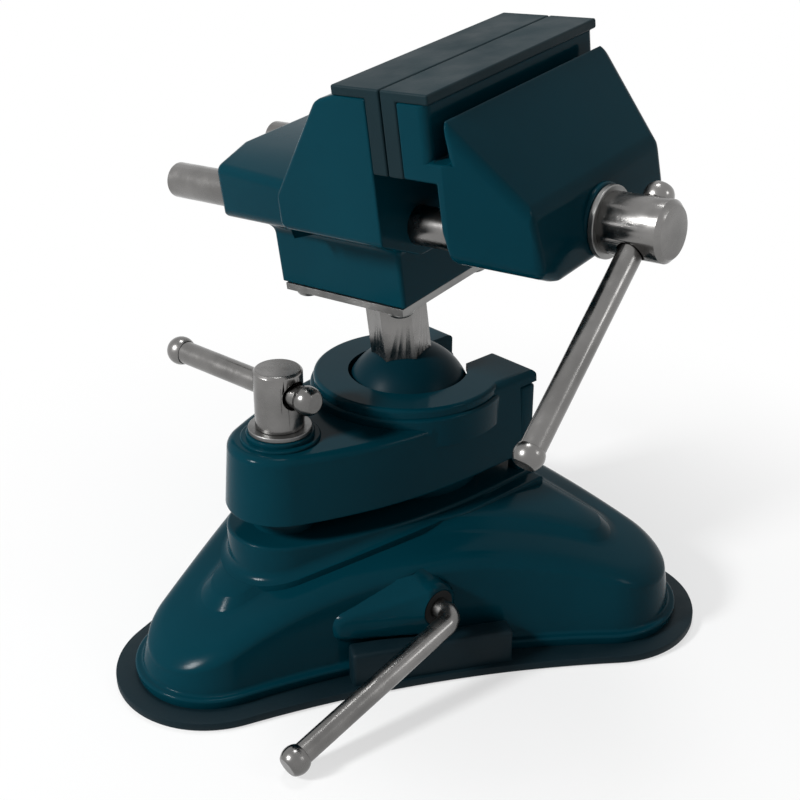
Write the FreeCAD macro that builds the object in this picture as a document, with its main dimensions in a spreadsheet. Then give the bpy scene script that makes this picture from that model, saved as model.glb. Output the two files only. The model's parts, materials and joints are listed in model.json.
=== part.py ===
import FreeCAD, Part
import math
import os

import Sketcher

# A small bench vise on a suction base. The origin lies on the table under the ball's centre, +Z is up,
# +X runs from the clamp screw's nose to the slotted end, and the suction lever is on the -Y side.

SIZES = {
    # Ball joint and how the head stands in it
    "ball_height": (59, "ball's centre above the table"),
    "ball_radius": (19, "ball"),
    "socket_gap": (0.3, "between the ball and its two seats"),
    "lean_side": (-2.6, "degrees that the ball is rolled about X"),
    "lean_nose": (-6.1, "degrees that the post is tilted about Y"),
    "swivel": (8.3, "degrees that the head is turned on its post"),
    # Fits shared by all pieces
    "running_fit": (0.05, "radial clearance of a turning or sliding fit"),
    "press_gap": (0.02, "radial gap of a pressed joint"),
    "soft_gap": (0.3, "between rubber and what it lies on"),
    "overrun": (5, "how far a cutting tool runs past the metal"),
    # Base casting
    "apex_reach": (73, "centre of the front lobe from the ball's axis"),
    "rear_reach": (28.6, "centres of the two rear lobes, along X"),
    "rear_half_span": (54, "centres of the two rear lobes, along Y"),
    "casting_lobe": (20, "radius of a lobe at the skirt"),
    "casting_waist": (13.5, "middle of a side from the line between two lobes"),
    "skirt_flange": (2, "how far the skirt's flange stands out"),
    "flange_height": (3, "height of that flange"),
    "dome_radius": (174, "radius of the domed top"),
    "dome_top": (37.3, "height of the dome over the axis"),
    "wall_draft": (5, "degrees of draft on the side walls"),
    "base_wall": (4, "thickness of the casting"),
    "plateau_pull": (8, "how much nearer the raised panel's lobes are"),
    "plateau_lobe": (8, "radius of the raised panel's lobes"),
    "plateau_waist": (2, "middle of the raised panel's side"),
    "plateau_step": (1.8, "height of the raised panel"),
    # Tower and clamp cap
    "keel_nose": (47, "centre of the rounded nose from the ball's axis"),
    "nose_radius": (16, "rounded nose"),
    "keel_half_width": (27.5, "half the width, and the ring's radius"),
    "side_start": (5, "where the bowed sides turn straight"),
    "keel_rear": (26, "flat slotted end from the ball's axis"),
    "tower_top": (38, "top of the tower"),
    "collar_grow": (4, "how far the ledge at the tower's foot stands out"),
    "collar_top": (36.9, "top of that ledge"),
    "cup_radius": (21.5, "outside of the lower ball cup"),
    "cup_root": (32, "root of the lower ball cup"),
    "cup_rim": (49.5, "rim of the lower ball cup"),
    "screw_boss": (9, "boss under the clamp screw"),
    "screw_boss_top": (43.5, "top of that boss"),
    "cap_bottom": (44.5, "lower edge of the clamp cap"),
    "cap_nose_top": (64, "cap's lower level, round the screw"),
    "cap_ring_top": (69.6, "cap's upper level, round the ball"),
    "ring_step": (2.8, "height of the middle step"),
    "ring_step_out": (1, "how far the middle step stands out"),
    "ring_hole": (17.4, "hole in the cap at its top"),
    "cap_bore_gap": (0.5, "cap's bore round the ball below its middle"),
    "cup_clearance": (0.6, "cap's pocket round the lower cup"),
    "cup_headroom": (3.5, "cap's pocket above the lower cup"),
    "slot_half_width": (9.25, "slot for the post"),
    "cap_draft": (4.3, "degrees of draft on the cap's walls"),
    "washer_seat": (11, "raised seat under the clamp washer"),
    "washer_seat_height": (0.8, "height of that seat"),
    "washer_boss": (9.4, "boss on that seat"),
    "washer_boss_height": (2.1, "top of that boss above the cap"),
    "hinge_post_depth": (4.7, "hinge posts at the slotted end, along X"),
    "hinge_post_inner": (21, "inner side of the hinge posts"),
    "hinge_post_outer": (25.6, "outer side of the hinge posts"),
    "hinge_post_top": (65, "top of the hinge posts"),
    "hinge_gap": (0.8, "gap round the hinge posts"),
    "hinge_pin_radius": (1.5, "clamp hinge pins"),
    "hinge_pin_height": (50, "clamp hinge pins above the table"),
    "hinge_pin_inner": (16.5, "inner end of a pin"),
    "hinge_pin_outer": (24.4, "outer end of a pin"),
    # Clamp screw and its bar
    "clamp_thread": (4, "radius of the clamp screw's shank"),
    "clamp_hole_gap": (0.6, "clearance round the shank, so that the cap can rock"),
    "clamp_head": (6.7, "radius of the clamp screw's head"),
    "clamp_head_length": (16.8, "length of the clamp screw's head"),
    "clamp_washer_radius": (8.7, "washer"),
    "clamp_washer_thick": (1.4, "washer"),
    "clamp_tip": (8.5, "lower end of the clamp screw"),
    "clamp_bar_drop": (6.3, "bar's axis below the top of the head"),
    "clamp_bar": (3.2, "radius of the clamp bar"),
    "clamp_bar_ball": (4.05, "balls on the clamp bar"),
    "clamp_bar_reach": (39, "far ball from the screw's axis"),
    "clamp_bar_near": (10.7, "near ball from the screw's axis"),
    "clamp_bar_turn": (97, "degrees from +X to the far ball"),
    "clamp_bar_room": (0.7, "clearance of the clamp bar in its hole"),
    "edge_break": (0.7, "chamfers on turned heads"),
    "ball_flat": (1.1, "how much of a bar's ball is faced off"),
    "nut_flats": (13, "clamp nut across flats"),
    "nut_thick": (6.5, "clamp nut"),
    "nut_boss": (9.5, "boss round the nut"),
    "nut_boss_bottom": (9, "lower end of that boss"),
    "nut_pocket_gap": (0.3, "round the nut"),
    # Suction pad and its lift
    "pad_lobe": (27.5, "radius of the rubber sheet's lobes"),
    "pad_waist": (22.5, "middle of the sheet's side"),
    "pad_thick": (2.5, "rubber sheet"),
    "tab_length": (45.5, "pull tab"),
    "tab_inner": (15, "tab's inner face from the line between two lobes"),
    "tab_outer": (21.5, "tab's outer face"),
    "tab_top": (12.5, "top of the tab"),
    "lift_centre": (28, "lift plate and shaft from the ball's axis, towards the nose"),
    "recess_radius": (27.5, "hollow under the pad, at the table"),
    "recess_roof": (24.4, "hollow under the pad, at its roof"),
    "recess_height": (3.5, "hollow under the pad with the pad lifted"),
    "lift_plate_radius": (22, "lift plate"),
    "lift_plate_thick": (2, "lift plate"),
    "strap_thick": (5, "lift strap"),
    "strap_bar": (3, "metal of the strap round its window"),
    "strap_foot": (9, "half the strap's foot, along Y"),
    "strap_foot_thick": (1.6, "strap's foot"),
    "rivet_radius": (1.2, "strap rivets"),
    "rivet_head": (2.2, "heads of the strap rivets"),
    "rivet_head_thick": (0.8, "heads of the strap rivets"),
    "rivet_place": (6, "strap rivets from the strap's middle"),
    # Suction lever
    "shaft_height": (21, "lever's shaft above the table"),
    "lever_bar": (3, "radius of the lever's bar"),
    "lever_out": (49.1, "handle's plane from the ball's axis"),
    "lever_bend": (3.5, "radius of the bend"),
    "lever_length": (57.8, "from the shaft to the end ball"),
    "lever_drop": (16.8, "degrees that the handle points down"),
    "lever_ball_radius": (4, "end ball"),
    "shaft_inner_end": (20, "inner end of the shaft"),
    "cam_radius": (5.5, "eccentric"),
    "cam_throw": (1.96, "eccentric's offset"),
    "cam_angle": (50, "degrees that the eccentric stands above the nose-to-slot line"),
    "cam_half": (3, "half the eccentric's width"),
    "cam_hub": (5, "radius of the eccentric's hub"),
    "cam_hub_end": (9, "end of the hub"),
    "cam_pin_radius": (1, "pin through the hub"),
    "cam_window_gap": (0.3, "strap's window round the eccentric"),
    "strap_room": (0.5, "round the strap in the casting"),
    "hump_radius": (7, "bulge of the wall over the shaft"),
    "hump_length": (20.5, "how far the bulge runs towards the nose"),
    "hump_slope": (18.5, "degrees that its top falls towards the nose"),
    "hump_front": (4, "radius of its low end"),
    "hump_flat": (3, "how far its flat face runs towards the nose"),
    "hump_fade": (27, "where it has run into the wall, towards the nose"),
    "hump_fade_face": (26, "the same place from the ball's axis"),
    "hump_face": (43, "face of the bulge from the ball's axis"),
    "bush_radius": (5, "outside of the bushes"),
    "bush_length": (8, "outer bush"),
    "pillar_near": (11, "near face of the inner bearing"),
    "pillar_far": (17, "far face of the inner bearing"),
    "pillar_half": (7.5, "half the inner bearing, along X"),
    "clip_radius": (4.6, "retaining ring"),
    "clip_thick": (1, "retaining rings"),
    # Post and plate
    "post_flats": (15, "post across flats"),
    "post_turn": (17, "degrees that the post's flats are turned"),
    "post_foot_gap": (0.1, "between the ball and the post's foot"),
    "post_top": (40.5, "top of the post above the ball's centre"),
    "plate_gap": (0.1, "between the post and the plate"),
    "plate_half": (21, "half the square plate"),
    "plate_thick": (2, "square plate"),
    "post_bolt_radius": (4, "bolt in the post"),
    "post_bolt_depth": (16, "how deep the bolt goes into the post"),
    "post_bolt_head": (6.5, "bolt's head"),
    "post_bolt_head_thick": (4, "bolt's head"),
    "bolt_recess": (8, "radius of the recess over the bolt's head"),
    "bolt_recess_depth": (6, "that recess"),
    "plate_screw_place": (16.5, "plate screws from the middle"),
    "plate_screw_radius": (2, "plate screws"),
    "plate_screw_head": (3.6, "heads of the plate screws"),
    "plate_screw_head_thick": (2.4, "heads of the plate screws"),
    "plate_screw_depth": (8, "thread in the casting"),
    # Jaws: heights are below the top of the rubber pads, distances are from the line where they meet
    "jaw_line": (33.9, "post's axis from the line where the pads meet"),
    "jaw_top": (105.8, "top of the pads above the ball's centre"),
    "jaw_half_width": (35, "half the jaws' width"),
    "jaw_gap": (0.3, "between the two pads when closed"),
    "pad_rear_cover": (14.7, "fixed jaw's pad, from front to back"),
    "pad_front_cover": (13.9, "moving jaw's pad, from front to back"),
    "pad_skin": (2.5, "pad over the top of a jaw"),
    "pad_face": (4.5, "pad on the gripping face"),
    "pad_depth": (20.6, "height of the gripping face"),
    "web_shoulder_out": (20.9, "fixed jaw's back edge at its top"),
    "web_shoulder_drop": (4.3, "fixed jaw's back edge at its top"),
    "web_heel_out": (38.6, "fixed jaw's back edge at the tail"),
    "web_heel_drop": (30.4, "fixed jaw's back edge at the tail"),
    "web_bottom": (39, "lower edge of the fixed jaw's ends"),
    "web_foot": (47, "where the ends' underside meets the block"),
    "block_near": (12.6, "block's front face"),
    "block_far": (56.9, "block's back face"),
    "block_half": (20.6, "half the block's width at the jaw"),
    "tail_end": (70.5, "rear end of the tail"),
    "tail_near": (20, "front end of the tail"),
    "tail_half": (30, "half the tail's width at its front end"),
    "tail_half_rear": (26, "half the tail's width at its rear end"),
    "tail_shoulder": (30.7, "tail's side edge"),
    "tail_ridge": (26.3, "tail's top"),
    "tail_ridge_half": (14, "half the flat on the tail's top"),
    "tail_side_bottom": (40.5, "lower edge of the tail's sides"),
    "tail_bottom": (46.5, "underside of the tail"),
    "tail_bottom_half": (19, "half the tail's underside"),
    "rod_drop": (38.5, "guide rods and main screw below the pads' top"),
    "rod_place": (20, "guide rods from the middle"),
    "rod_radius": (5, "guide rods"),
    "rod_rear": (92.7, "rear end of the guide rods"),
    "rod_front": (32, "front end of the guide rods"),
    "rod_pin_radius": (1.5, "pins through the guide rods"),
    "rod_pin_place": (27, "those pins from the line where the pads meet"),
    "rod_pin_half": (7.5, "half the length of those pins"),
    "nut_sunk": (1, "lead nut's front face behind the jaw's face"),
    "nut_length": (12, "lead nut"),
    "nut_half": (6.5, "half the lead nut's width"),
    "screw_room": (0.6, "clearance round the main screw behind its nut"),
    "nut_screw_radius": (1.6, "screw that holds the lead nut"),
    "nut_screw_length": (3, "that screw"),
    "nut_screw_out": (9, "that screw's axis"),
    # Moving jaw
    "body_top_out": (16, "top edge of the body"),
    "body_top_drop": (5.5, "top edge of the body"),
    "channel_out": (17.2, "foot of the groove behind the jaw plate"),
    "channel_drop": (15.7, "foot of the groove behind the jaw plate"),
    "plate_back": (13, "back of the jaw plate"),
    "slope_out": (34.9, "lower edge of the sloped face"),
    "slope_drop": (27.1, "lower edge of the sloped face"),
    "nose_out": (36.6, "front face round the screw"),
    "nose_drop": (40, "where the front face turns upright"),
    "nose_half": (27.8, "half the front face's width"),
    "nose_boss": (9.5, "boss under the screw's washer"),
    "foot_out": (18.2, "rear edge of the underside"),
    "foot_drop": (46.5, "underside"),
    "heel_out": (16.8, "lower back corner"),
    "heel_drop": (42, "lower back corner"),
    "waist_out": (14.2, "back face at its middle"),
    "waist_drop": (32, "back face at its middle"),
    "face_out": (14, "back face under the pad"),
    # Main screw and its bar
    "screw_radius": (5, "main screw"),
    "screw_end": (66, "rear end of the main screw"),
    "collar_radius": (9, "washer under the screw's head"),
    "collar_thick": (1.6, "washer under the screw's head"),
    "head_radius": (7.6, "screw's head"),
    "head_length": (16.4, "screw's head"),
    "bar_out": (46.5, "bar's axis from the line where the pads meet"),
    "bar_radius": (3.1, "bar"),
    "bar_ball": (3.75, "balls on the bar"),
    "bar_reach": (62.3, "far ball from the screw's axis"),
    "bar_slope": (34.2, "degrees that the bar points down"),
    "bar_room": (0.4, "clearance of the bar in its hole"),
    "bar_rest": (1.5, "near ball's centre from the head's surface"),
    "head_break": (1.2, "chamfer on the screw's head"),
    "hole_fit": (0.1, "clearance of the screws in their plain holes"),
    "clip_seat": (18.5, "floor for the retaining ring behind the moving jaw"),
    "clip_ring": (7, "radius of that retaining ring"),
    "clip_room": (0.6, "round that retaining ring"),
}


class Size:
    """A number together with the spreadsheet formula that gives it."""

    def __init__(self, value, text):
        self.value = value
        self.text = text

    @staticmethod
    def of(other):
        return other if isinstance(other, Size) else Size(other, repr(other))

    def join(self, other, sign, value):
        return Size(value, "(" + self.text + " " + sign + " " + Size.of(other).text + ")")

    def __add__(self, other):
        return self.join(other, "+", self.value + Size.of(other).value)

    def __sub__(self, other):
        return self.join(other, "-", self.value - Size.of(other).value)

    def __mul__(self, other):
        return self.join(other, "*", self.value * Size.of(other).value)

    def __truediv__(self, other):
        return self.join(other, "/", self.value / Size.of(other).value)

    def __neg__(self):
        return Size(-self.value, "(-" + self.text + ")")


ZERO = Size(0, "0")
UNIT = Size(1, "1")


def sine(angle):
    return Size(math.sin(math.radians(angle.value)), "sin(" + angle.text + ")")


def cosine(angle):
    return Size(math.cos(math.radians(angle.value)), "cos(" + angle.text + ")")


def root(square):
    return Size(math.sqrt(square.value), "sqrt(" + square.text + ")")


class Cells:
    """The driving sizes, one attribute for each cell of the sheet."""

    def __init__(self, sheet, sizes):
        for row, (name, (value, note)) in enumerate(sizes.items(), start=1):
            sheet.set("A" + str(row), name)
            sheet.set("B" + str(row), str(value))
            sheet.set("C" + str(row), note)
            sheet.setAlias("B" + str(row), name)
            setattr(self, name, Size(value, "Sizes." + name))


doc = FreeCAD.newDocument("SuctionBaseVise")
sheet = doc.addObject("Spreadsheet::Sheet", "Sizes")
S = Cells(sheet, SIZES)
doc.recompute()

UP = FreeCAD.Vector(0, 0, 1)
ALONG_X = FreeCAD.Vector(1, 0, 0)
ALONG_Y = FreeCAD.Vector(0, 1, 0)
UPRIGHT_XZ = FreeCAD.Rotation(ALONG_X, 90)
UPRIGHT_YZ = FreeCAD.Rotation(FreeCAD.Vector(1, 1, 1), 120)
NO_TURN = FreeCAD.Rotation()
pieces = {}


def vector(x, y, z):
    return FreeCAD.Vector(Size.of(x).value, Size.of(y).value, Size.of(z).value)


def bind(item, prop, size):
    """Ties one property of an object to the sheet."""
    item.setExpression(prop, Size.of(size).text)


def seat(item, at, turn=NO_TURN):
    """Puts an object at a place given in sizes, with a fixed direction."""
    item.Placement = FreeCAD.Placement(vector(*at), turn)
    for axis, size in zip("xyz", at):
        bind(item, "Placement.Base." + axis, size)
    return item


def block(name, x, y, z):
    item = doc.addObject("Part::Box", name)
    for prop, (low, high) in zip(("Length", "Width", "Height"), (x, y, z)):
        bind(item, prop, Size.of(high) - low)
    return seat(item, (x[0], y[0], z[0]))


def rod(name, radius, length, at, along=UP):
    item = doc.addObject("Part::Cylinder", name)
    bind(item, "Radius", radius)
    bind(item, "Height", length)
    return seat(item, at, FreeCAD.Rotation(UP, along))


def sphere(name, radius, at):
    item = doc.addObject("Part::Sphere", name)
    bind(item, "Radius", radius)
    return seat(item, at)


def frustum(name, radii, height, at):
    item = doc.addObject("Part::Cone", name)
    bind(item, "Radius1", radii[0])
    bind(item, "Radius2", radii[1])
    bind(item, "Height", height)
    return seat(item, at)


def hexagon(name, flats, height, at, turn=ZERO):
    """A hexagonal bar whose corners lie at half its flats over the cosine of 30 degrees."""
    item = doc.addObject("Part::Prism", name)
    item.Polygon = 6
    bind(item, "Circumradius", flats / root(Size(3, "3")))
    bind(item, "Height", height)
    return seat(item, at, FreeCAD.Rotation(UP, turn.value))


def fuse(name, *items):
    item = doc.addObject("Part::MultiFuse", name)
    item.Shapes = list(items)
    item.Refine = True
    return item


def common(name, *items):
    item = doc.addObject("Part::MultiCommon", name)
    item.Shapes = list(items)
    item.Refine = True
    return item


def cut(name, base, *tools):
    item = doc.addObject("Part::Cut", name)
    item.Base = base
    item.Tool = tools[0] if len(tools) == 1 else fuse(name + "_tools", *tools)
    item.Refine = True
    return item


def group(name, *items):
    item = doc.addObject("Part::Compound", name)
    item.Links = list(items)
    return item


def tie(sketch, kind, where, size):
    """Adds a measured constraint that follows the sheet."""
    number = sketch.addConstraint(Sketcher.Constraint(kind, *where, size.value))
    sketch.setExpression("Constraints[" + str(number) + "]", size.text)


def tie_point(sketch, index, end, at):
    """Ties one point of an outline by its two distances from the origin."""
    for kind, axis, size in zip(("DistanceX", "DistanceY"), (-2, -1), at):
        size = Size.of(size)
        if size is ZERO:
            sketch.addConstraint(Sketcher.Constraint("PointOnObject", index, end, axis))
        else:
            tie(sketch, kind, (-1, 1, index, end), size)


def draw(sketch, points):
    """Draws a closed outline whose corners are tied to the sheet."""
    last = len(points) - 1
    ends = [vector(a, b, ZERO) for a, b in points]
    for index, end in enumerate(ends):
        sketch.addGeometry(Part.LineSegment(end, ends[index + 1 if index < last else 0]))
    for index, corner in enumerate(points):
        sketch.addConstraint(Sketcher.Constraint("Coincident", index - 1 if index else last, 2, index, 1))
        tie_point(sketch, index, 1, corner)
    return sketch


def extrude(name, sketch, height, draft=None):
    """An outline pushed along its own normal, with or without draft."""
    item = doc.addObject("Part::Extrusion", name)
    item.Base = sketch
    item.DirMode = "Normal"
    item.Solid = True
    bind(item, "LengthFwd", height)
    if draft is not None:
        bind(item, "TaperAngle", -draft)
    return item


def prism(name, points, depth, at, turn=NO_TURN):
    """A straight-sided outline pushed along its own normal."""
    sketch = draw(doc.addObject("Sketcher::SketchObject", name + "_outline"), points)
    return extrude(name, seat(sketch, at, turn), depth)


def turned(name, points):
    """A turned piece: an outline in radius and height, turned about Z."""
    body = doc.addObject("PartDesign::Body", name)
    sketch = body.newObject("Sketcher::SketchObject", name + "_outline")
    plane = [f for f in body.Origin.OriginFeatures if f.Role == "XZ_Plane"][0]
    sketch.AttachmentSupport = (plane, [""])
    sketch.MapMode = "FlatFace"
    draw(sketch, points)
    solid = body.newObject("PartDesign::Revolution", name + "_turning")
    solid.Profile = sketch
    solid.ReferenceAxis = (sketch, ["V_Axis"])
    solid.Angle = 360
    body.Tip = solid
    return body


def piece(node, item, place=None):
    """Names a finished sub-part and puts it in its place."""
    if place is not None:
        if item.ExpressionEngine:
            item = group(node + "_piece", item)
        item.Placement = place.multiply(item.Placement)
    item.Label = node
    pieces[node] = item


# Outlines shared by several pieces

LOBES = [(-S.apex_reach, ZERO), (S.rear_reach, -S.rear_half_span), (S.rear_reach, S.rear_half_span)]


def three_lobes(name, lobe, waist, pull, bottom, height, draft=None):
    """A slab with three round lobes and hollow sides, whose lobes may be pulled towards the middle."""
    sketch = doc.addObject("Sketcher::SketchObject", name + "_outline")
    seat(sketch, (ZERO, ZERO, bottom))
    centres = []
    for x, y in LOBES:
        reach = root(x * x + y * y)
        share = (reach - pull) / reach
        centres.append((x * share, y * share if y is not ZERO else ZERO))
    hollows = []
    for index, (ax, ay) in enumerate(centres):
        bx, by = centres[index + 1 if index < 2 else 0]
        half = root((bx - ax) * (bx - ax) + (by - ay) * (by - ay)) / 2
        radius = (half * half + waist * waist - lobe * lobe) / ((lobe - waist) * 2)
        out = vector((by - ay) / half / 2, (ax - bx) / half / 2, ZERO)
        middle = vector((ax + bx) / 2, (ay + by) / 2, ZERO)
        hollows.append((middle + out * (radius + waist).value, radius))
    arcs = []
    for index, (x, y) in enumerate(centres):
        here = vector(x, y, ZERO)
        before, after = hollows[index - 1][0] - here, hollows[index][0] - here
        start, end = math.atan2(before.y, before.x), math.atan2(after.y, after.x)
        arcs.append((here, lobe, start, end))
    for index, (centre, radius) in enumerate(hollows):
        first = vector(*centres[index], ZERO) - centre
        second = vector(*centres[index + 1 if index < 2 else 0], ZERO) - centre
        arcs.append((centre, radius, math.atan2(second.y, second.x), math.atan2(first.y, first.x)))
    for centre, radius, start, end in arcs:
        end = end if end > start else end + math.tau
        sketch.addGeometry(Part.ArcOfCircle(Part.Circle(centre, UP, radius.value), start, end))
    for index, (x, y) in enumerate(centres):
        following = index + 1 if index < 2 else 0
        sketch.addConstraint(Sketcher.Constraint("Tangent", index, 2, index + 3, 2))
        sketch.addConstraint(Sketcher.Constraint("Tangent", index + 3, 1, following, 1))
        tie_point(sketch, index, 3, (x, y))
    for index, (centre, radius, start, end) in enumerate(arcs):
        tie(sketch, "Radius", (index,), radius)
    return extrude(name, sketch, height, draft)


def keel(name, bottom, top, grow, rear, draft=None):
    """The long shape shared by tower and cap: a round nose, bowed sides and a flat rear end."""
    sketch = doc.addObject("Sketcher::SketchObject", name + "_outline")
    seat(sketch, (ZERO, ZERO, bottom))
    nose = S.nose_radius + grow
    wide = S.keel_half_width + grow
    reach = S.keel_nose + S.side_start
    bow = (reach * reach + wide * wide - nose * nose) / ((wide - nose) * 2)
    lean = math.atan2((bow - wide).value, reach.value)
    corners = [(S.side_start, -wide), (rear, -wide), (rear, wide), (S.side_start, wide)]
    ends = [vector(x, y, ZERO) for x, y in corners]
    near, far = vector(S.side_start, bow - wide, ZERO), vector(S.side_start, wide - bow, ZERO)
    arcs = [
        (vector(-S.keel_nose, ZERO, ZERO), nose, math.pi - lean, math.pi + lean),
        (near, bow, math.pi + lean, math.pi * 3 / 2),
        (far, bow, math.pi / 2, math.pi - lean),
    ]
    for centre, radius, first, last in arcs:
        sketch.addGeometry(Part.ArcOfCircle(Part.Circle(centre, UP, radius.value), first, last))
    for index in range(3):
        sketch.addGeometry(Part.LineSegment(ends[index], ends[index + 1]))
    sketch.addConstraint(Sketcher.Constraint("Tangent", 0, 2, 1, 1))
    sketch.addConstraint(Sketcher.Constraint("Tangent", 2, 2, 0, 1))
    for first, second in ((1, 3), (3, 4), (4, 5), (5, 2)):
        sketch.addConstraint(Sketcher.Constraint("Coincident", first, 2, second, 1))
    tie_point(sketch, 0, 3, (-S.keel_nose, ZERO))
    for index, (centre, radius, first, last) in enumerate(arcs):
        tie(sketch, "Radius", (index,), radius)
    for index, end, corner in ((3, 1, 0), (4, 1, 1), (5, 1, 2), (5, 2, 3)):
        tie_point(sketch, index, end, corners[corner])
    return extrude(name, sketch, top - bottom, draft)


def squared_off(name, item, radius, z):
    """A round piece without what lies behind the flat rear end."""
    return common(name, item, block(name + "_limit", (-radius, S.keel_rear), (-radius, radius), z))


def dome(name, offset):
    """The ball-shaped top of the base, raised or sunk by an offset."""
    return sphere(name, S.dome_radius + offset, (ZERO, ZERO, S.dome_top - S.dome_radius))


def end_ball(name, radius, bar, at, along):
    """A bar's end ball, faced off at its outer end and bored to its centre for the bar."""
    whole = sphere(name + "_whole", radius, (ZERO, ZERO, ZERO))
    facing = rod(name + "_facing", radius, radius, (ZERO, ZERO, radius - S.ball_flat))
    bore = rod(name + "_bore", bar + S.press_gap, radius, (ZERO, ZERO, -radius))
    return seat(group(name, cut(name + "_turned", whole, facing, bore)), at, FreeCAD.Rotation(UP, along))


def along_line(start, direction, distance):
    """The point at a distance from a start in a direction, all of them sizes."""
    return tuple(a + b * distance for a, b in zip(start, direction))


def toggle_bar(node, centre, direction, radius, ball, near, far, place=None):
    """A loose bar with a ball on either end, as two nodes."""
    along = vector(*direction)
    low, high = along_line(centre, direction, -near), along_line(centre, direction, far)
    piece(node, rod(node + "_bar", radius, near + far, low, along), place)
    balls = group(
        node + "_both_balls",
        end_ball(node + "_near_ball", ball, radius, low, along * -1),
        end_ball(node + "_far_ball", ball, radius, high, along),
    )
    piece(node + "_balls", balls, place)


# Base casting

SHAFT_X = -S.lift_centre
SIDE_RUN = S.apex_reach + S.rear_reach
SIDE_LENGTH = root(SIDE_RUN * SIDE_RUN + S.rear_half_span * S.rear_half_span)
SIDE_COS = SIDE_RUN / SIDE_LENGTH
SIDE_SIN = S.rear_half_span / SIDE_LENGTH
SIDE_TURN = FreeCAD.Rotation(UP, -math.degrees(math.atan2(SIDE_SIN.value, SIDE_COS.value)))
SIDE_MIDDLE = ((S.rear_reach - S.apex_reach) / 2, -S.rear_half_span / 2)


def beside(name, half_length, inner, outer, bottom, top):
    """A block along the near side, placed from the line between its two lobes."""
    item = doc.addObject("Part::Box", name)
    bind(item, "Length", half_length * 2)
    bind(item, "Width", outer - inner)
    bind(item, "Height", top - bottom)
    x = SIDE_MIDDLE[0] - half_length * SIDE_COS - outer * SIDE_SIN
    y = SIDE_MIDDLE[1] + half_length * SIDE_SIN - outer * SIDE_COS
    return seat(item, (x, y, bottom), SIDE_TURN)


HINGE_X = S.keel_rear - S.hinge_post_depth / 2
CAM_X = SHAFT_X + S.cam_throw * cosine(S.cam_angle)
CAM_Z = S.shaft_height + S.cam_throw * sine(S.cam_angle)
WINDOW_X = S.cam_radius + S.cam_throw - S.cam_window_gap * 2
WINDOW_Z = S.cam_radius + S.cam_window_gap
STRAP_TOP = CAM_Z + WINDOW_Z + S.strap_bar


def shaft_hump():
    """The bulge of the near wall over the shaft, which fades into the wall towards the nose."""
    fall, rise = sine(S.hump_slope), cosine(S.hump_slope)
    inset = S.hump_radius - S.hump_front
    end_x = SHAFT_X - inset * fall - S.hump_length * rise
    end_z = S.shaft_height + inset * rise - S.hump_length * fall
    side_view = prism(
        "hump_side_view",
        [
            (end_x - S.hump_front, S.pad_thick),
            (SHAFT_X + S.hump_radius, S.pad_thick),
            (SHAFT_X + S.hump_radius, S.shaft_height),
            (SHAFT_X - S.hump_radius * fall, S.shaft_height + S.hump_radius * rise),
            (end_x - S.hump_front * fall, end_z + S.hump_front * rise),
            (end_x - S.hump_front, end_z),
        ],
        S.hump_face,
        (ZERO, ZERO, ZERO),
        UPRIGHT_XZ,
    )
    plan = prism(
        "hump_plan",
        [
            (SHAFT_X + S.hump_radius, ZERO),
            (SHAFT_X - S.hump_fade, ZERO),
            (SHAFT_X - S.hump_fade, -S.hump_fade_face),
            (SHAFT_X - S.hump_flat, -S.hump_face),
            (SHAFT_X + S.hump_radius, -S.hump_face),
        ],
        S.dome_top,
        (ZERO, ZERO, ZERO),
    )
    whole = fuse(
        "hump_whole",
        rod("hump_rear", S.hump_radius, S.hump_face, (SHAFT_X, -S.hump_face, S.shaft_height), ALONG_Y),
        rod("hump_end", S.hump_front, S.hump_face, (end_x, -S.hump_face, end_z), ALONG_Y),
        side_view,
    )
    return common("shaft_hump", whole, plan)


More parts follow.
